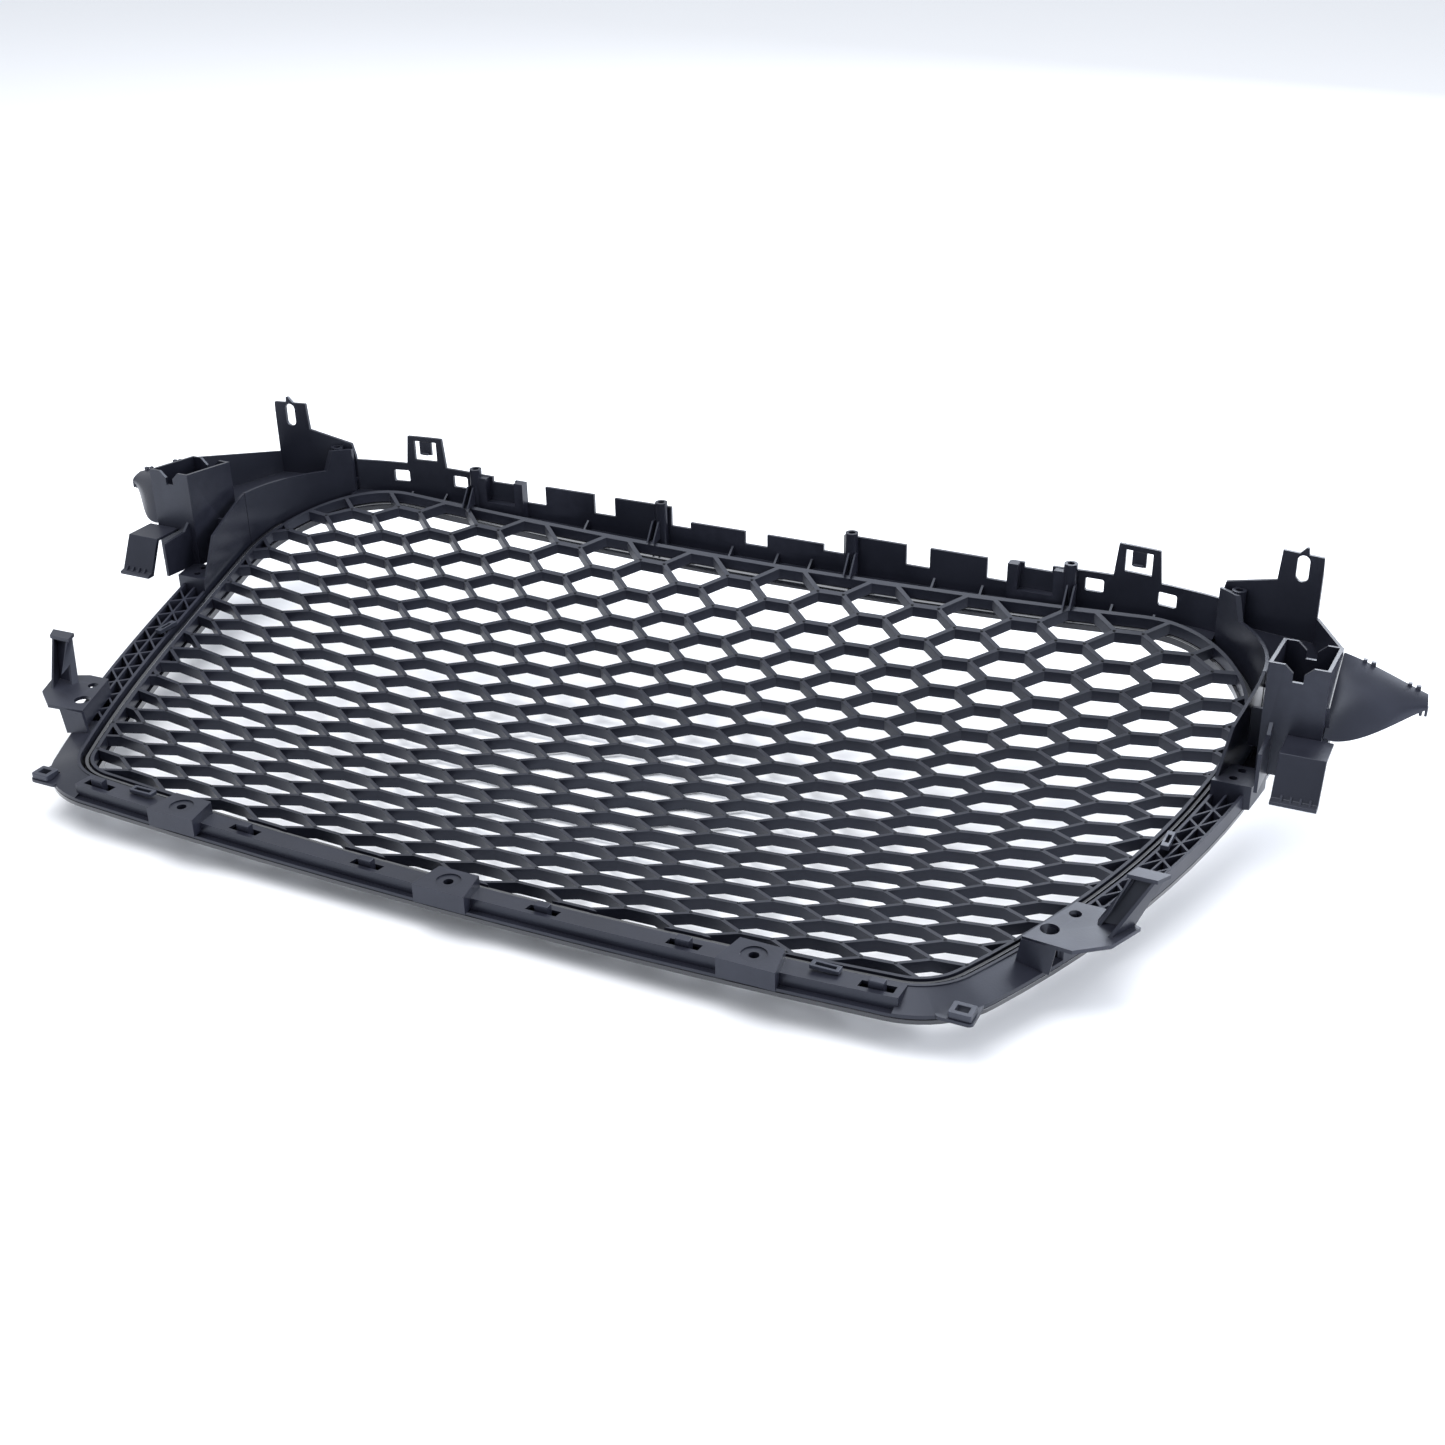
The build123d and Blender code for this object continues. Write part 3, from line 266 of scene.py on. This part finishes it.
def place_group(tree, name, maker, **values):
    """Put a shared group in a material and set its inputs."""
    made = node(tree, "ShaderNodeGroup", node_tree=shared_group(name, maker))
    for key, value in values.items():
        made.inputs[key].default_value = value
    return made


# ---- plastics ----

SPECULAR_TINT = (0.80, 0.86, 1.0, 1)
DUST_COLOUR = (0.10, 0.105, 0.13, 1)
DARK_CLOUD, PALE_CLOUD = 0.82, 1.22
# painted highlight: how much lighter the sharp edges are painted than the plastic
HIGHLIGHT_GAIN, HIGHLIGHT_LIFT = 2.6, 0.012
GLOSSIER, DULLER = 0.05, 0.06
# painted shade: near-black colour of the ejector marks, darker than the mesh plastic
MARK_SHADE_COLOUR = (0.0012, 0.0012, 0.0018)
DEFLECTOR_LIFT = 1.15


def plastic(
    name, colour, roughness, grain, grain_depth, edge_highlight=0.5, dust=0.12, coat=0.0, flow=9.0
):
    """Dark moulded plastic with grain, clouding, a highlight painted on its sharp edges and a
    little dust.
    """
    found = bpy.data.materials.get(name)
    if found:
        return found
    material = bpy.data.materials.new(name)
    material.use_nodes = True
    tree = material.node_tree
    link = tree.links.new
    shader = tree.nodes["Principled BSDF"]
    shader.inputs["IOR"].default_value = 1.47
    shader.inputs["Specular Tint"].default_value = SPECULAR_TINT
    shader.inputs["Coat Weight"].default_value = coat
    shader.inputs["Coat Roughness"].default_value = 0.04

    clouds = place_group(tree, "flow_clouding", flow_group, Scale=flow)
    # mask of the sharp edges that get a painted highlight
    edges = place_group(tree, "painted_edge_highlight", edge_highlight_group)
    film = place_group(tree, "settled_dust", dust_group, Amount=dust)
    texture = place_group(tree, "moulded_grain", grain_group, Scale=grain)

    base = node(tree, "ShaderNodeMix", data_type="RGBA")
    base.inputs["A"].default_value = (*[c * DARK_CLOUD for c in colour], 1)
    base.inputs["B"].default_value = (*[c * PALE_CLOUD for c in colour], 1)
    link(clouds.outputs["Value"], base.inputs["Factor"])
    # painted highlight: sharp edges mixed towards a lighter colour
    highlighted = node(tree, "ShaderNodeMix", data_type="RGBA")
    highlight_colour = [min(1, c * HIGHLIGHT_GAIN + HIGHLIGHT_LIFT) for c in colour]
    highlighted.inputs["B"].default_value = (*highlight_colour, 1)
    share = node(tree, "ShaderNodeMath", operation="MULTIPLY")
    share.inputs[1].default_value = edge_highlight
    link(edges.outputs["Mask"], share.inputs[0])
    link(share.outputs["Value"], highlighted.inputs["Factor"])
    link(base.outputs["Result"], highlighted.inputs["A"])
    dusty = node(tree, "ShaderNodeMix", data_type="RGBA")
    dusty.inputs["B"].default_value = DUST_COLOUR
    link(film.outputs["Mask"], dusty.inputs["Factor"])
    link(highlighted.outputs["Result"], dusty.inputs["A"])
    link(dusty.outputs["Result"], shader.inputs["Base Color"])

    gloss = node(tree, "ShaderNodeMapRange")
    gloss.inputs["To Min"].default_value = roughness - GLOSSIER
    gloss.inputs["To Max"].default_value = roughness + DULLER
    link(clouds.outputs["Value"], gloss.inputs["Value"])
    duller = node(tree, "ShaderNodeMath", operation="ADD", use_clamp=True)
    link(gloss.outputs["Result"], duller.inputs[0])
    link(film.outputs["Mask"], duller.inputs[1])
    link(duller.outputs["Value"], shader.inputs["Roughness"])

    bump = node(tree, "ShaderNodeBump")
    bump.inputs["Strength"].default_value = 0.6
    bump.inputs["Distance"].default_value = grain_depth
    link(texture.outputs["Height"], bump.inputs["Height"])
    link(bump.outputs["Normal"], shader.inputs["Normal"])
    return material


def mesh_plastic():
    """Satin black of the honeycomb mesh."""
    colour = bpy.context.scene.grille_finish.mesh_colour
    return plastic(
        "honeycomb satin black", colour, 0.33, 1100.0, 0.00005, edge_highlight=0.35, dust=0.05
    )


def mark_shade_plastic():
    """Dull, unpolished ejector marks, in a near-black colour painted on as shade."""
    return plastic(
        "ejector mark dull black painted shade", MARK_SHADE_COLOUR, 0.75, 1600.0, 0.00004, edge_highlight=0.0, dust=0.02
    )


def carrier_plastic():
    """Moulded black of the rear carrier, slightly blue."""
    colour = bpy.context.scene.grille_finish.carrier_colour
    return plastic(
        "carrier moulded black", colour, 0.34, 750.0, 0.00006, edge_highlight=0.45, dust=0.06, flow=14.0
    )


def ring_plastic():
    """Gloss black of the surround ring."""
    colour = bpy.context.scene.grille_finish.ring_colour
    return plastic(
        "ring gloss black", colour, 0.12, 1500.0, 0.00001, edge_highlight=0.25, dust=0.06, coat=0.8
    )


def clip_plastic():
    """Dark grey acetal of the small clips."""
    colour = bpy.context.scene.grille_finish.clip_colour
    return plastic(
        "clip dark acetal", colour, 0.33, 600.0, 0.00005, edge_highlight=0.6, dust=0.10, flow=60.0
    )


def deflector_plastic():
    """Flexible grey-black of the air deflectors."""
    colour = [c * DEFLECTOR_LIFT for c in bpy.context.scene.grille_finish.carrier_colour]
    return plastic(
        "deflector satin black", colour, 0.30, 500.0, 0.00006, edge_highlight=0.6, dust=0.14, flow=30.0
    )


# ---- piece helpers ----

MERGE_DISTANCE = 1e-6
FLAT_ANGLE = math.radians(0.2)


def finish_piece(name, bm, material, body=CARRIER, smooth_angle=35.0):
    """Turn a bmesh into a piece that rides on a body."""
    for face in bm.faces:
        face.smooth = True
    limit = math.radians(smooth_angle)
    for edge in bm.edges:
        edge.smooth = len(edge.link_faces) == 2 and edge.calc_face_angle(0.0) < limit
    data = bpy.data.meshes.new(name)
    bm.to_mesh(data)
    bm.free()
    piece = bpy.data.objects.new(name, data)
    bpy.context.scene.collection.objects.link(piece)
    data.materials.append(material)
    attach(piece, body)
    return piece


def round_edges(piece, width, segments=2, angle=38.0):
    """Bevel modifier on the piece's sharp edges."""
    bevel = piece.modifiers.new("edge round", "BEVEL")
    bevel.width = width
    bevel.segments = segments
    bevel.limit_method = "ANGLE"
    bevel.angle_limit = math.radians(angle)
    bevel.harden_normals = True
    bevel.use_clamp_overlap = True
    return piece


def softened_node(node_name, piece_name, material, width, segments=2, body=CARRIER):
    """Piece that stands for a CAD node, with merged facets and rounded edges."""
    bm = bmesh.new()
    bm.from_mesh(frame["nodes"][node_name].data)
    bmesh.ops.remove_doubles(bm, verts=bm.verts, dist=MERGE_DISTANCE)
    bmesh.ops.dissolve_limit(bm, angle_limit=FLAT_ANGLE, verts=bm.verts, edges=bm.edges)
    piece = finish_piece(piece_name, bm, material, body)
    round_edges(piece, width, segments)
    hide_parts(node_name)
    return piece


def block(bm, low, high):
    """Add a box between two corners."""
    made = bmesh.ops.create_cube(bm, size=1.0)["verts"]
    size = Vector(high) - Vector(low)
    bmesh.ops.scale(bm, vec=size, verts=made)
    bmesh.ops.translate(bm, vec=(Vector(low) + Vector(high)) / 2, verts=made)
    return made


def mirrored(bm):
    """Add the mirror image across the middle plane, facing outwards."""
    copy = bmesh.ops.duplicate(bm, geom=bm.verts[:] + bm.edges[:] + bm.faces[:])["geom"]
    verts = [item for item in copy if isinstance(item, bmesh.types.BMVert)]
    faces = [item for item in copy if isinstance(item, bmesh.types.BMFace)]
    bmesh.ops.scale(bm, vec=(-1, 1, 1), verts=verts)
    bmesh.ops.reverse_faces(bm, faces=faces)


def mount_point(name):
    """Place and sizes of a mount of the record."""
    found = [m for m in frame["record"]["mounts"] if m["name"] == name]
    if not found:
        raise ValueError(f"the record has no mount named {name}")
    return Vector(found[0]["pos_m"]), found[0].get("dims", {})


# ---- honeycomb mesh ----

COLUMNS = range(-11, 12)
HALF_ROWS = range(-18, 20)
ROW_SHIFT = 0.00725
EDGE_MARGIN = 0.006
MARK_SIDES = 10
MARK_TAPER = 0.8
MARK_DEPTH = 0.0006
MARK_SINK = 0.0001
ABOVE_MESH = 0.3


def rear_height(tree, x, y):
    """Height of the mesh's rear face under a point, or None over a cell."""
    hit = tree.ray_cast(Vector((x, y, ABOVE_MESH)), Vector((0, 0, -1)))
    return None if hit[0] is None else hit[0].z


class GRILLE_OT_honeycomb(bpy.types.Operator):
    """Finish the honeycomb mesh and set the ejector marks on the joints of its ribs"""

    bl_idname = "grille.honeycomb"
    bl_label = "Honeycomb Mesh"

    def execute(self, context):
        sizes = context.scene.grille_mesh
        skin = softened_node(
            "honeycomb_mesh",
            "honeycomb",
            mesh_plastic(),
            sizes.edge_round,
            segments=1,
        )
        tree = BVHTree.FromObject(skin, bpy.context.evaluated_depsgraph_get())
        low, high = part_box("honeycomb_mesh")
        bm = bmesh.new()
        for column in COLUMNS:
            for half_row in HALF_ROWS:
                if (column + half_row) % 2:
                    continue
                row = half_row / 2
                y = sizes.row_pitch * row + sizes.row_stretch * row * row - ROW_SHIFT
                for side in (-1, 1):
                    x = column * sizes.column_pitch + side * sizes.level_edge / 2
                    z = rear_height(tree, x, y)
                    if z is None or not (low.y + EDGE_MARGIN < y < high.y - EDGE_MARGIN):
                        continue
                    made = bmesh.ops.create_cone(
                        bm,
                        cap_ends=True,
                        segments=MARK_SIDES,
                        radius1=sizes.pin_radius,
                        radius2=sizes.pin_radius * MARK_TAPER,
                        depth=MARK_DEPTH,
                    )["verts"]
                    bmesh.ops.translate(bm, vec=(x, y, z - MARK_SINK), verts=made)
        if not bm.faces:
            raise RuntimeError("no joint of the mesh's ribs was found under the ejector marks")
        # the ejector marks get a dull finish and a near-black colour painted on as shade
        finish_piece("honeycomb_ejector_marks", bm, mark_shade_plastic())
        return {"FINISHED"}


# ---- ring ----


class GRILLE_OT_ring(bpy.types.Operator):
    """Finish the gloss surround ring and its snap lugs"""

    bl_idname = "grille.ring"
    bl_label = "Surround Ring"

    def execute(self, context):
        width = context.scene.grille_carrier.edge_round
        softened_node("surround_ring", "gloss_ring", ring_plastic(), width)
        softened_node(
            "ring_snap_lugs", "snap_lugs", carrier_plastic(), width * 1.5
        )
        return {"FINISHED"}


# ---- carrier ----

CARRIER_NODES = (
    "top_rail",
    "bottom_rail",
    "right_side_rail",
    "left_side_rail",
    "right_guide_socket",
    "left_guide_socket",
    "right_mounting_ear",
    "left_mounting_ear",
    "right_lower_bracket",
    "left_lower_bracket",
    "right_clip_plate",
    "left_clip_plate",
)


class GRILLE_OT_carrier(bpy.types.Operator):
    """Finish the mouldings of the rear carrier"""

    bl_idname = "grille.carrier"
    bl_label = "Rear Carrier"

    def execute(self, context):
        width = context.scene.grille_carrier.edge_round
        for name in CARRIER_NODES:
            softened_node(name, f"{name}_moulding", carrier_plastic(), width)
        return {"FINISHED"}


TONGUE_ROUND = 0.0003
CATCH_INSET = 0.0015
CATCH_REACH = 0.0014
CATCH_LAP = 0.0012
CATCH_FOOT, CATCH_MIDDLE, CATCH_TOP = 0.0006, 0.0015, 0.0022
CATCH_ROUND = 0.0005


class GRILLE_OT_latches(bpy.types.Operator):
    """Finish the latch tongues, each with a catch on its free end"""

    bl_idname = "grille.latches"
    bl_label = "Latch Tongues"

    def execute(self, context):
        for side in ("right", "left"):
            name = f"{side}_latch_tongue"
            low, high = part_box(name)
            body = f"{side}_latch"
            softened_node(
                name, f"{name}_blade", carrier_plastic(), TONGUE_ROUND, body=body
            )
            bm = bmesh.new()
            block(
                bm,
                (low.x + CATCH_INSET, low.y - CATCH_REACH, low.z + CATCH_FOOT),
                (high.x - CATCH_INSET, low.y + CATCH_LAP, low.z + CATCH_TOP),
            )
            top = [e for e in bm.edges if all(v.co.z > low.z + CATCH_MIDDLE for v in e.verts)]
            bmesh.ops.bevel(
                bm, geom=top, offset=CATCH_ROUND, offset_type="OFFSET", segments=2, profile=0.5,
                affect="EDGES", material=-1,
            )
            finish_piece(f"{name}_catch", bm, carrier_plastic(), body=body)
        return {"FINISHED"}


# ---- fins and ribs ----

TOUCH = 1e-5

# fins beside a screw post, from the post's axis and from its rim
FIN_REACH = 0.016
FIN_LAP = 0.002
FIN_OFFSET = 0.0043
RIM_DROP = 0.004
FIN_BOTTOM, FIN_TOP = 0.024, 0.010
FIN_SLOPE = 0.010

# rib on the guide socket's outer wall, from the corner of the socket's box
SOCKET_RIB_Y = 0.0355
SOCKET_RIB_LAP, SOCKET_RIB_OUT = 0.0002, 0.0042
SOCKET_RIB_BOTTOM, SOCKET_RIB_TOP = 0.058, 0.026
SOCKET_RIB_TAPER = 0.0028

# ribs on the clip plate, from the corner of the plate's box
PLATE_RIBS = 4
PLATE_RIB_PITCH = 0.0055
PLATE_RIB_FRONT, PLATE_RIB_BACK = 0.0005, 0.0060
PLATE_RIB_FOOT, PLATE_RIB_TOP = 0.0012, 0.0055
PLATE_RIB_SLOPE = 0.0035


class GRILLE_OT_ribs(bpy.types.Operator):
    """Add the fins round the screw posts and the ribs on the clip plates"""

    bl_idname = "grille.ribs"
    bl_label = "Fins and Ribs"

    def execute(self, context):
        thick = context.scene.grille_carrier.rib_thickness
        bm = bmesh.new()
        for name in ("post_screws_inner", "post_screws_outer"):
            place, dims = mount_point(name)
            x = dims["spacing_x_mm"] * MM / 2
            for offset in (-1, 1):
                rim = place.z - RIM_DROP
                left = x - thick / 2 if offset < 0 else x + FIN_OFFSET
                low = (left, place.y - FIN_REACH, rim - FIN_BOTTOM)
                high = (left + thick, place.y - FIN_LAP, rim - FIN_TOP)
                made = block(bm, low, high)
                tip = [v for v in made if v.co.z > high[2] - TOUCH and v.co.y < low[1] + TOUCH]
                bmesh.ops.translate(bm, vec=(0, FIN_SLOPE, 0), verts=tip)
        low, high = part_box("right_guide_socket")
        made = block(
            bm,
            (high.x - SOCKET_RIB_LAP, low.y + SOCKET_RIB_Y, high.z - SOCKET_RIB_BOTTOM),
            (high.x + SOCKET_RIB_OUT, low.y + SOCKET_RIB_Y + thick, high.z - SOCKET_RIB_TOP),
        )
        top = [v for v in made if v.co.z > high.z - 0.030 and v.co.x > high.x + 0.002]
        bmesh.ops.translate(bm, vec=(-SOCKET_RIB_TAPER, 0, 0), verts=top)
        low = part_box("right_clip_plate")[0]
        for step in range(PLATE_RIBS):
            x = low.x + PLATE_RIB_PITCH + step * PLATE_RIB_PITCH
            made = block(
                bm,
                (x, low.y + PLATE_RIB_FRONT, low.z + PLATE_RIB_FOOT),
                (x + thick, low.y + PLATE_RIB_BACK, low.z + PLATE_RIB_TOP),
            )
            top = [v for v in made if v.co.z > low.z + 0.005 and v.co.y < low.y + 0.001]
            bmesh.ops.translate(bm, vec=(0, PLATE_RIB_SLOPE, 0), verts=top)
        mirrored(bm)
        bmesh.ops.recalc_face_normals(bm, faces=bm.faces)
        finish_piece("stiffening_ribs", bm, carrier_plastic())
        return {"FINISHED"}


# ---- deflectors ----


def through(points, share):
    """Point on the smooth curve through evenly shared points."""
    last = len(points) - 1
    total = Vector((0, 0, 0))
    for index, point in enumerate(points):
        weight = 1.0
        for other in range(len(points)):
            if other != index:
                weight *= (share - other / last) / ((index - other) / last)
        total += Vector(point) * weight
    return total


# shares of the deflector's box, from its root to its tip
LOWER_EDGE = ((0.0, 0.0, 0.10), (0.36, 0.16, 0.09), (0.72, 0.52, 0.25), (1.0, 0.72, 0.44))
CREASE_LINE = ((0.0, 0.46, 0.60), (0.34, 0.50, 0.60), (0.68, 0.62, 0.56), (0.99, 0.76, 0.53))
UPPER_EDGE = ((0.0, 1.0, 1.0), (0.34, 0.99, 0.87), (0.68, 0.95, 0.72), (0.97, 0.90, 0.60))
DEFLECTOR_ROUND = 0.0003
UPPER_CLIP_SHARES = (0.28, 0.80)
TIP_CLIP_SHARE = 0.98

# the two prongs of a clip, as boxes about a point of the edge
UPPER_PRONGS = (
    ((-0.0035, -0.0015, -0.0020), (-0.0012, 0.0012, 0.0022)),
    ((0.0012, -0.0015, -0.0028), (0.0040, 0.0012, 0.0012)),
)
TIP_PRONGS = (
    ((-0.0040, -0.0006, -0.0042), (-0.0022, 0.0050, 0.0004)),
    ((-0.0010, -0.0002, -0.0042), (0.0006, 0.0054, 0.0004)),
)


def add_clip(bm, low, span, line, along, prongs):
    """Add a clip's prongs at a share of the way along an edge of the deflector."""
    share = through(line, along)
    spot = [low[i] + share[i] * span[i] for i in range(3)]
    for first, last in prongs:
        block(bm, *([c + d for c, d in zip(spot, corner)] for corner in (first, last)))


class GRILLE_OT_deflectors(bpy.types.Operator):
    """Model the curved air deflectors with their edge clips"""

    bl_idname = "grille.deflectors"
    bl_label = "Air Deflectors"

    def execute(self, context):
        sizes = context.scene.grille_carrier
        low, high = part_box("right_air_deflector")
        span = high - low
        for side in ("right", "left"):
            bm = bmesh.new()
            steps = sizes.deflector_steps
            bmesh.ops.create_grid(bm, x_segments=steps, y_segments=steps, size=0.5)
            for vert in bm.verts:
                along, across = vert.co.x + 0.5, vert.co.y + 0.5
                rails = [through(line, along) for line in (LOWER_EDGE, CREASE_LINE, UPPER_EDGE)]
                share = through(rails, across)
                vert.co = low + Vector([share[i] * span[i] for i in range(3)])
            bmesh.ops.recalc_face_normals(bm, faces=bm.faces)
            if sum(face.normal.z for face in bm.faces) < 0:
                bmesh.ops.reverse_faces(bm, faces=bm.faces)
            bmesh.ops.solidify(bm, geom=bm.faces[:], thickness=sizes.deflector_wall)
            for along in UPPER_CLIP_SHARES:
                add_clip(bm, low, span, UPPER_EDGE, along, UPPER_PRONGS)
            add_clip(bm, low, span, LOWER_EDGE, TIP_CLIP_SHARE, TIP_PRONGS)
            if side == "left":
                bmesh.ops.scale(bm, vec=(-1, 1, 1), verts=bm.verts)
            bmesh.ops.recalc_face_normals(bm, faces=bm.faces)
            piece = finish_piece(
                f"{side}_deflector_shell",
                bm,
                deflector_plastic(),
                smooth_angle=45.0,
            )
            round_edges(piece, DEFLECTOR_ROUND, angle=50.0)
            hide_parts(f"{side}_air_deflector")
        return {"FINISHED"}


# ---- small clips ----

CLIP_ROUND = 0.0004


class GRILLE_OT_fasteners(bpy.types.Operator):
    """Finish the collars, eyelets and side snap clips"""

    bl_idname = "grille.fasteners"
    bl_label = "Clips and Collars"

    def execute(self, context):
        for name in ("corner_collars", "snap_eyelets", "side_snap_clips"):
            softened_node(name, f"{name}_finished", clip_plastic(), CLIP_ROUND)
        return {"FINISHED"}


# ---- stage ----

FLOOR_SIZE = 30.0
FLOOR_DROP = 0.0002
WORLD_COLOUR = (0.93, 0.96, 1.0, 1)
WORLD_STRENGTH = 0.85
CAMERA_PLACE = (0.5463, -0.96195, 0.61138)
CAMERA_LENS = 47.0
CAMERA_AZIMUTH, CAMERA_ELEVATION, CAMERA_ROLL = 26.08, 27.61, -1.05

# name, place, target, size, power and colour
SOFTBOXES = (
    ("back_softbox", (0.4, 2.1, 1.3), (0, 0, 0.05), 1.5, 46.0, (0.90, 0.94, 1.0)),
    ("right_softbox", (2.3, 0.1, 0.9), (0.2, 0, 0.06), 1.0, 34.0, (0.92, 0.95, 1.0)),
    ("overhead_softbox", (-0.6, -0.4, 2.6), (0, 0, 0.05), 2.2, 60.0, (1, 1, 1)),
)


def studio_floor(colour):
    """Pale matte floor under the grille."""
    bm = bmesh.new()
    bmesh.ops.create_grid(bm, x_segments=1, y_segments=1, size=FLOOR_SIZE)
    bmesh.ops.translate(bm, vec=(0, 0, -FLOOR_DROP), verts=bm.verts)
    data = bpy.data.meshes.new("studio_floor")
    bm.to_mesh(data)
    bm.free()
    floor = bpy.data.objects.new("studio_floor", data)
    bpy.context.scene.collection.objects.link(floor)
    material = bpy.data.materials.new("studio floor")
    material.use_nodes = True
    tree = material.node_tree
    shader = tree.nodes["Principled BSDF"]
    shader.inputs["Roughness"].default_value = 0.9
    shader.inputs["Specular IOR Level"].default_value = 0.1
    place = node(tree, "ShaderNodeTexCoord")
    mottle = node(tree, "ShaderNodeTexNoise")
    mottle.inputs["Scale"].default_value = 3.0
    blend = node(tree, "ShaderNodeMix", data_type="RGBA")
    blend.inputs["A"].default_value = (*[c * 0.99 for c in colour], 1)
    blend.inputs["B"].default_value = (*colour, 1)
    tree.links.new(place.outputs["Object"], mottle.inputs["Vector"])
    tree.links.new(mottle.outputs["Fac"], blend.inputs["Factor"])
    tree.links.new(blend.outputs["Result"], shader.inputs["Base Color"])
    data.materials.append(material)


def soft_light(name, place, target, size, power, colour):
    """Square area light aimed at a point."""
    data = bpy.data.lights.new(name, "AREA")
    data.shape = "SQUARE"
    data.size = size
    data.energy = power
    data.color = colour
    light = bpy.data.objects.new(name, data)
    bpy.context.scene.collection.objects.link(light)
    light.location = place
    aim = Vector(target) - Vector(place)
    light.rotation_euler = aim.to_track_quat("-Z", "Y").to_euler()


class GRILLE_OT_stage(bpy.types.Operator):
    """Set the floor, the studio light and the camera"""

    bl_idname = "grille.stage"
    bl_label = "Stage"

    def execute(self, context):
        scene = context.scene
        studio_floor(scene.grille_finish.floor_colour)
        for softbox in SOFTBOXES:
            soft_light(*softbox)
        world = bpy.data.worlds.new("studio")
        world.use_nodes = True
        background = world.node_tree.nodes["Background"]
        background.inputs["Color"].default_value = WORLD_COLOUR
        background.inputs["Strength"].default_value = WORLD_STRENGTH
        scene.view_settings.view_transform = "Standard"
        scene.world = world
        data = bpy.data.cameras.new("camera")
        data.sensor_width = 36.0
        data.lens = CAMERA_LENS
        data.clip_start = 0.05
        data.clip_end = 60.0
        camera = bpy.data.objects.new("camera", data)
        scene.collection.objects.link(camera)
        turn = Matrix.Rotation(math.radians(CAMERA_AZIMUTH), 3, "Z")
        tilt = Matrix.Rotation(math.radians(90.0 - CAMERA_ELEVATION), 3, "X")
        twist = Matrix.Rotation(math.radians(CAMERA_ROLL), 3, "Z")
        aim = (turn @ tilt @ twist).to_4x4()
        camera.matrix_world = Matrix.Translation(CAMERA_PLACE) @ aim
        scene.camera = camera
        return {"FINISHED"}


# ---- panel and registration ----

OPERATORS = (
    GRILLE_OT_honeycomb,
    GRILLE_OT_ring,
    GRILLE_OT_carrier,
    GRILLE_OT_latches,
    GRILLE_OT_ribs,
    GRILLE_OT_deflectors,
    GRILLE_OT_fasteners,
    GRILLE_OT_stage,
)


class GRILLE_PT_maker(bpy.types.Panel):
    """Sidebar panel with the grille's sizes, finishes and operators"""

    bl_idname = "GRILLE_PT_maker"
    bl_label = "Front Grille"
    bl_space_type = "VIEW_3D"
    bl_region_type = "UI"
    bl_category = "Grille"

    def draw(self, context):
        layout = self.layout
        scene = context.scene
        for group in (scene.grille_mesh, scene.grille_carrier, scene.grille_finish):
            column = layout.column(align=True)
            for name in group.__annotations__:
                column.prop(group, name)
        for operator in OPERATORS:
            layout.operator(operator.bl_idname)


CLASSES = (
    GrilleMeshSettings,
    GrilleCarrierSettings,
    GrilleFinishSettings,
    *OPERATORS,
    GRILLE_PT_maker,
)


def register():
    for made in CLASSES:
        bpy.utils.register_class(made)
    bpy.types.Scene.grille_mesh = PointerProperty(type=GrilleMeshSettings)
    bpy.types.Scene.grille_carrier = PointerProperty(type=GrilleCarrierSettings)
    bpy.types.Scene.grille_finish = PointerProperty(type=GrilleFinishSettings)


def unregister():
    del bpy.types.Scene.grille_finish
    del bpy.types.Scene.grille_carrier
    del bpy.types.Scene.grille_mesh
    for made in reversed(CLASSES):
        bpy.utils.unregister_class(made)


def main():
    register()
    bpy.ops.grille.honeycomb()
    bpy.ops.grille.ring()
    bpy.ops.grille.carrier()
    bpy.ops.grille.latches()
    bpy.ops.grille.ribs()
    bpy.ops.grille.deflectors()
    bpy.ops.grille.fasteners()
    bpy.ops.grille.stage()
    bpy.context.view_layer.update()


if __name__ == "__main__":
    main()
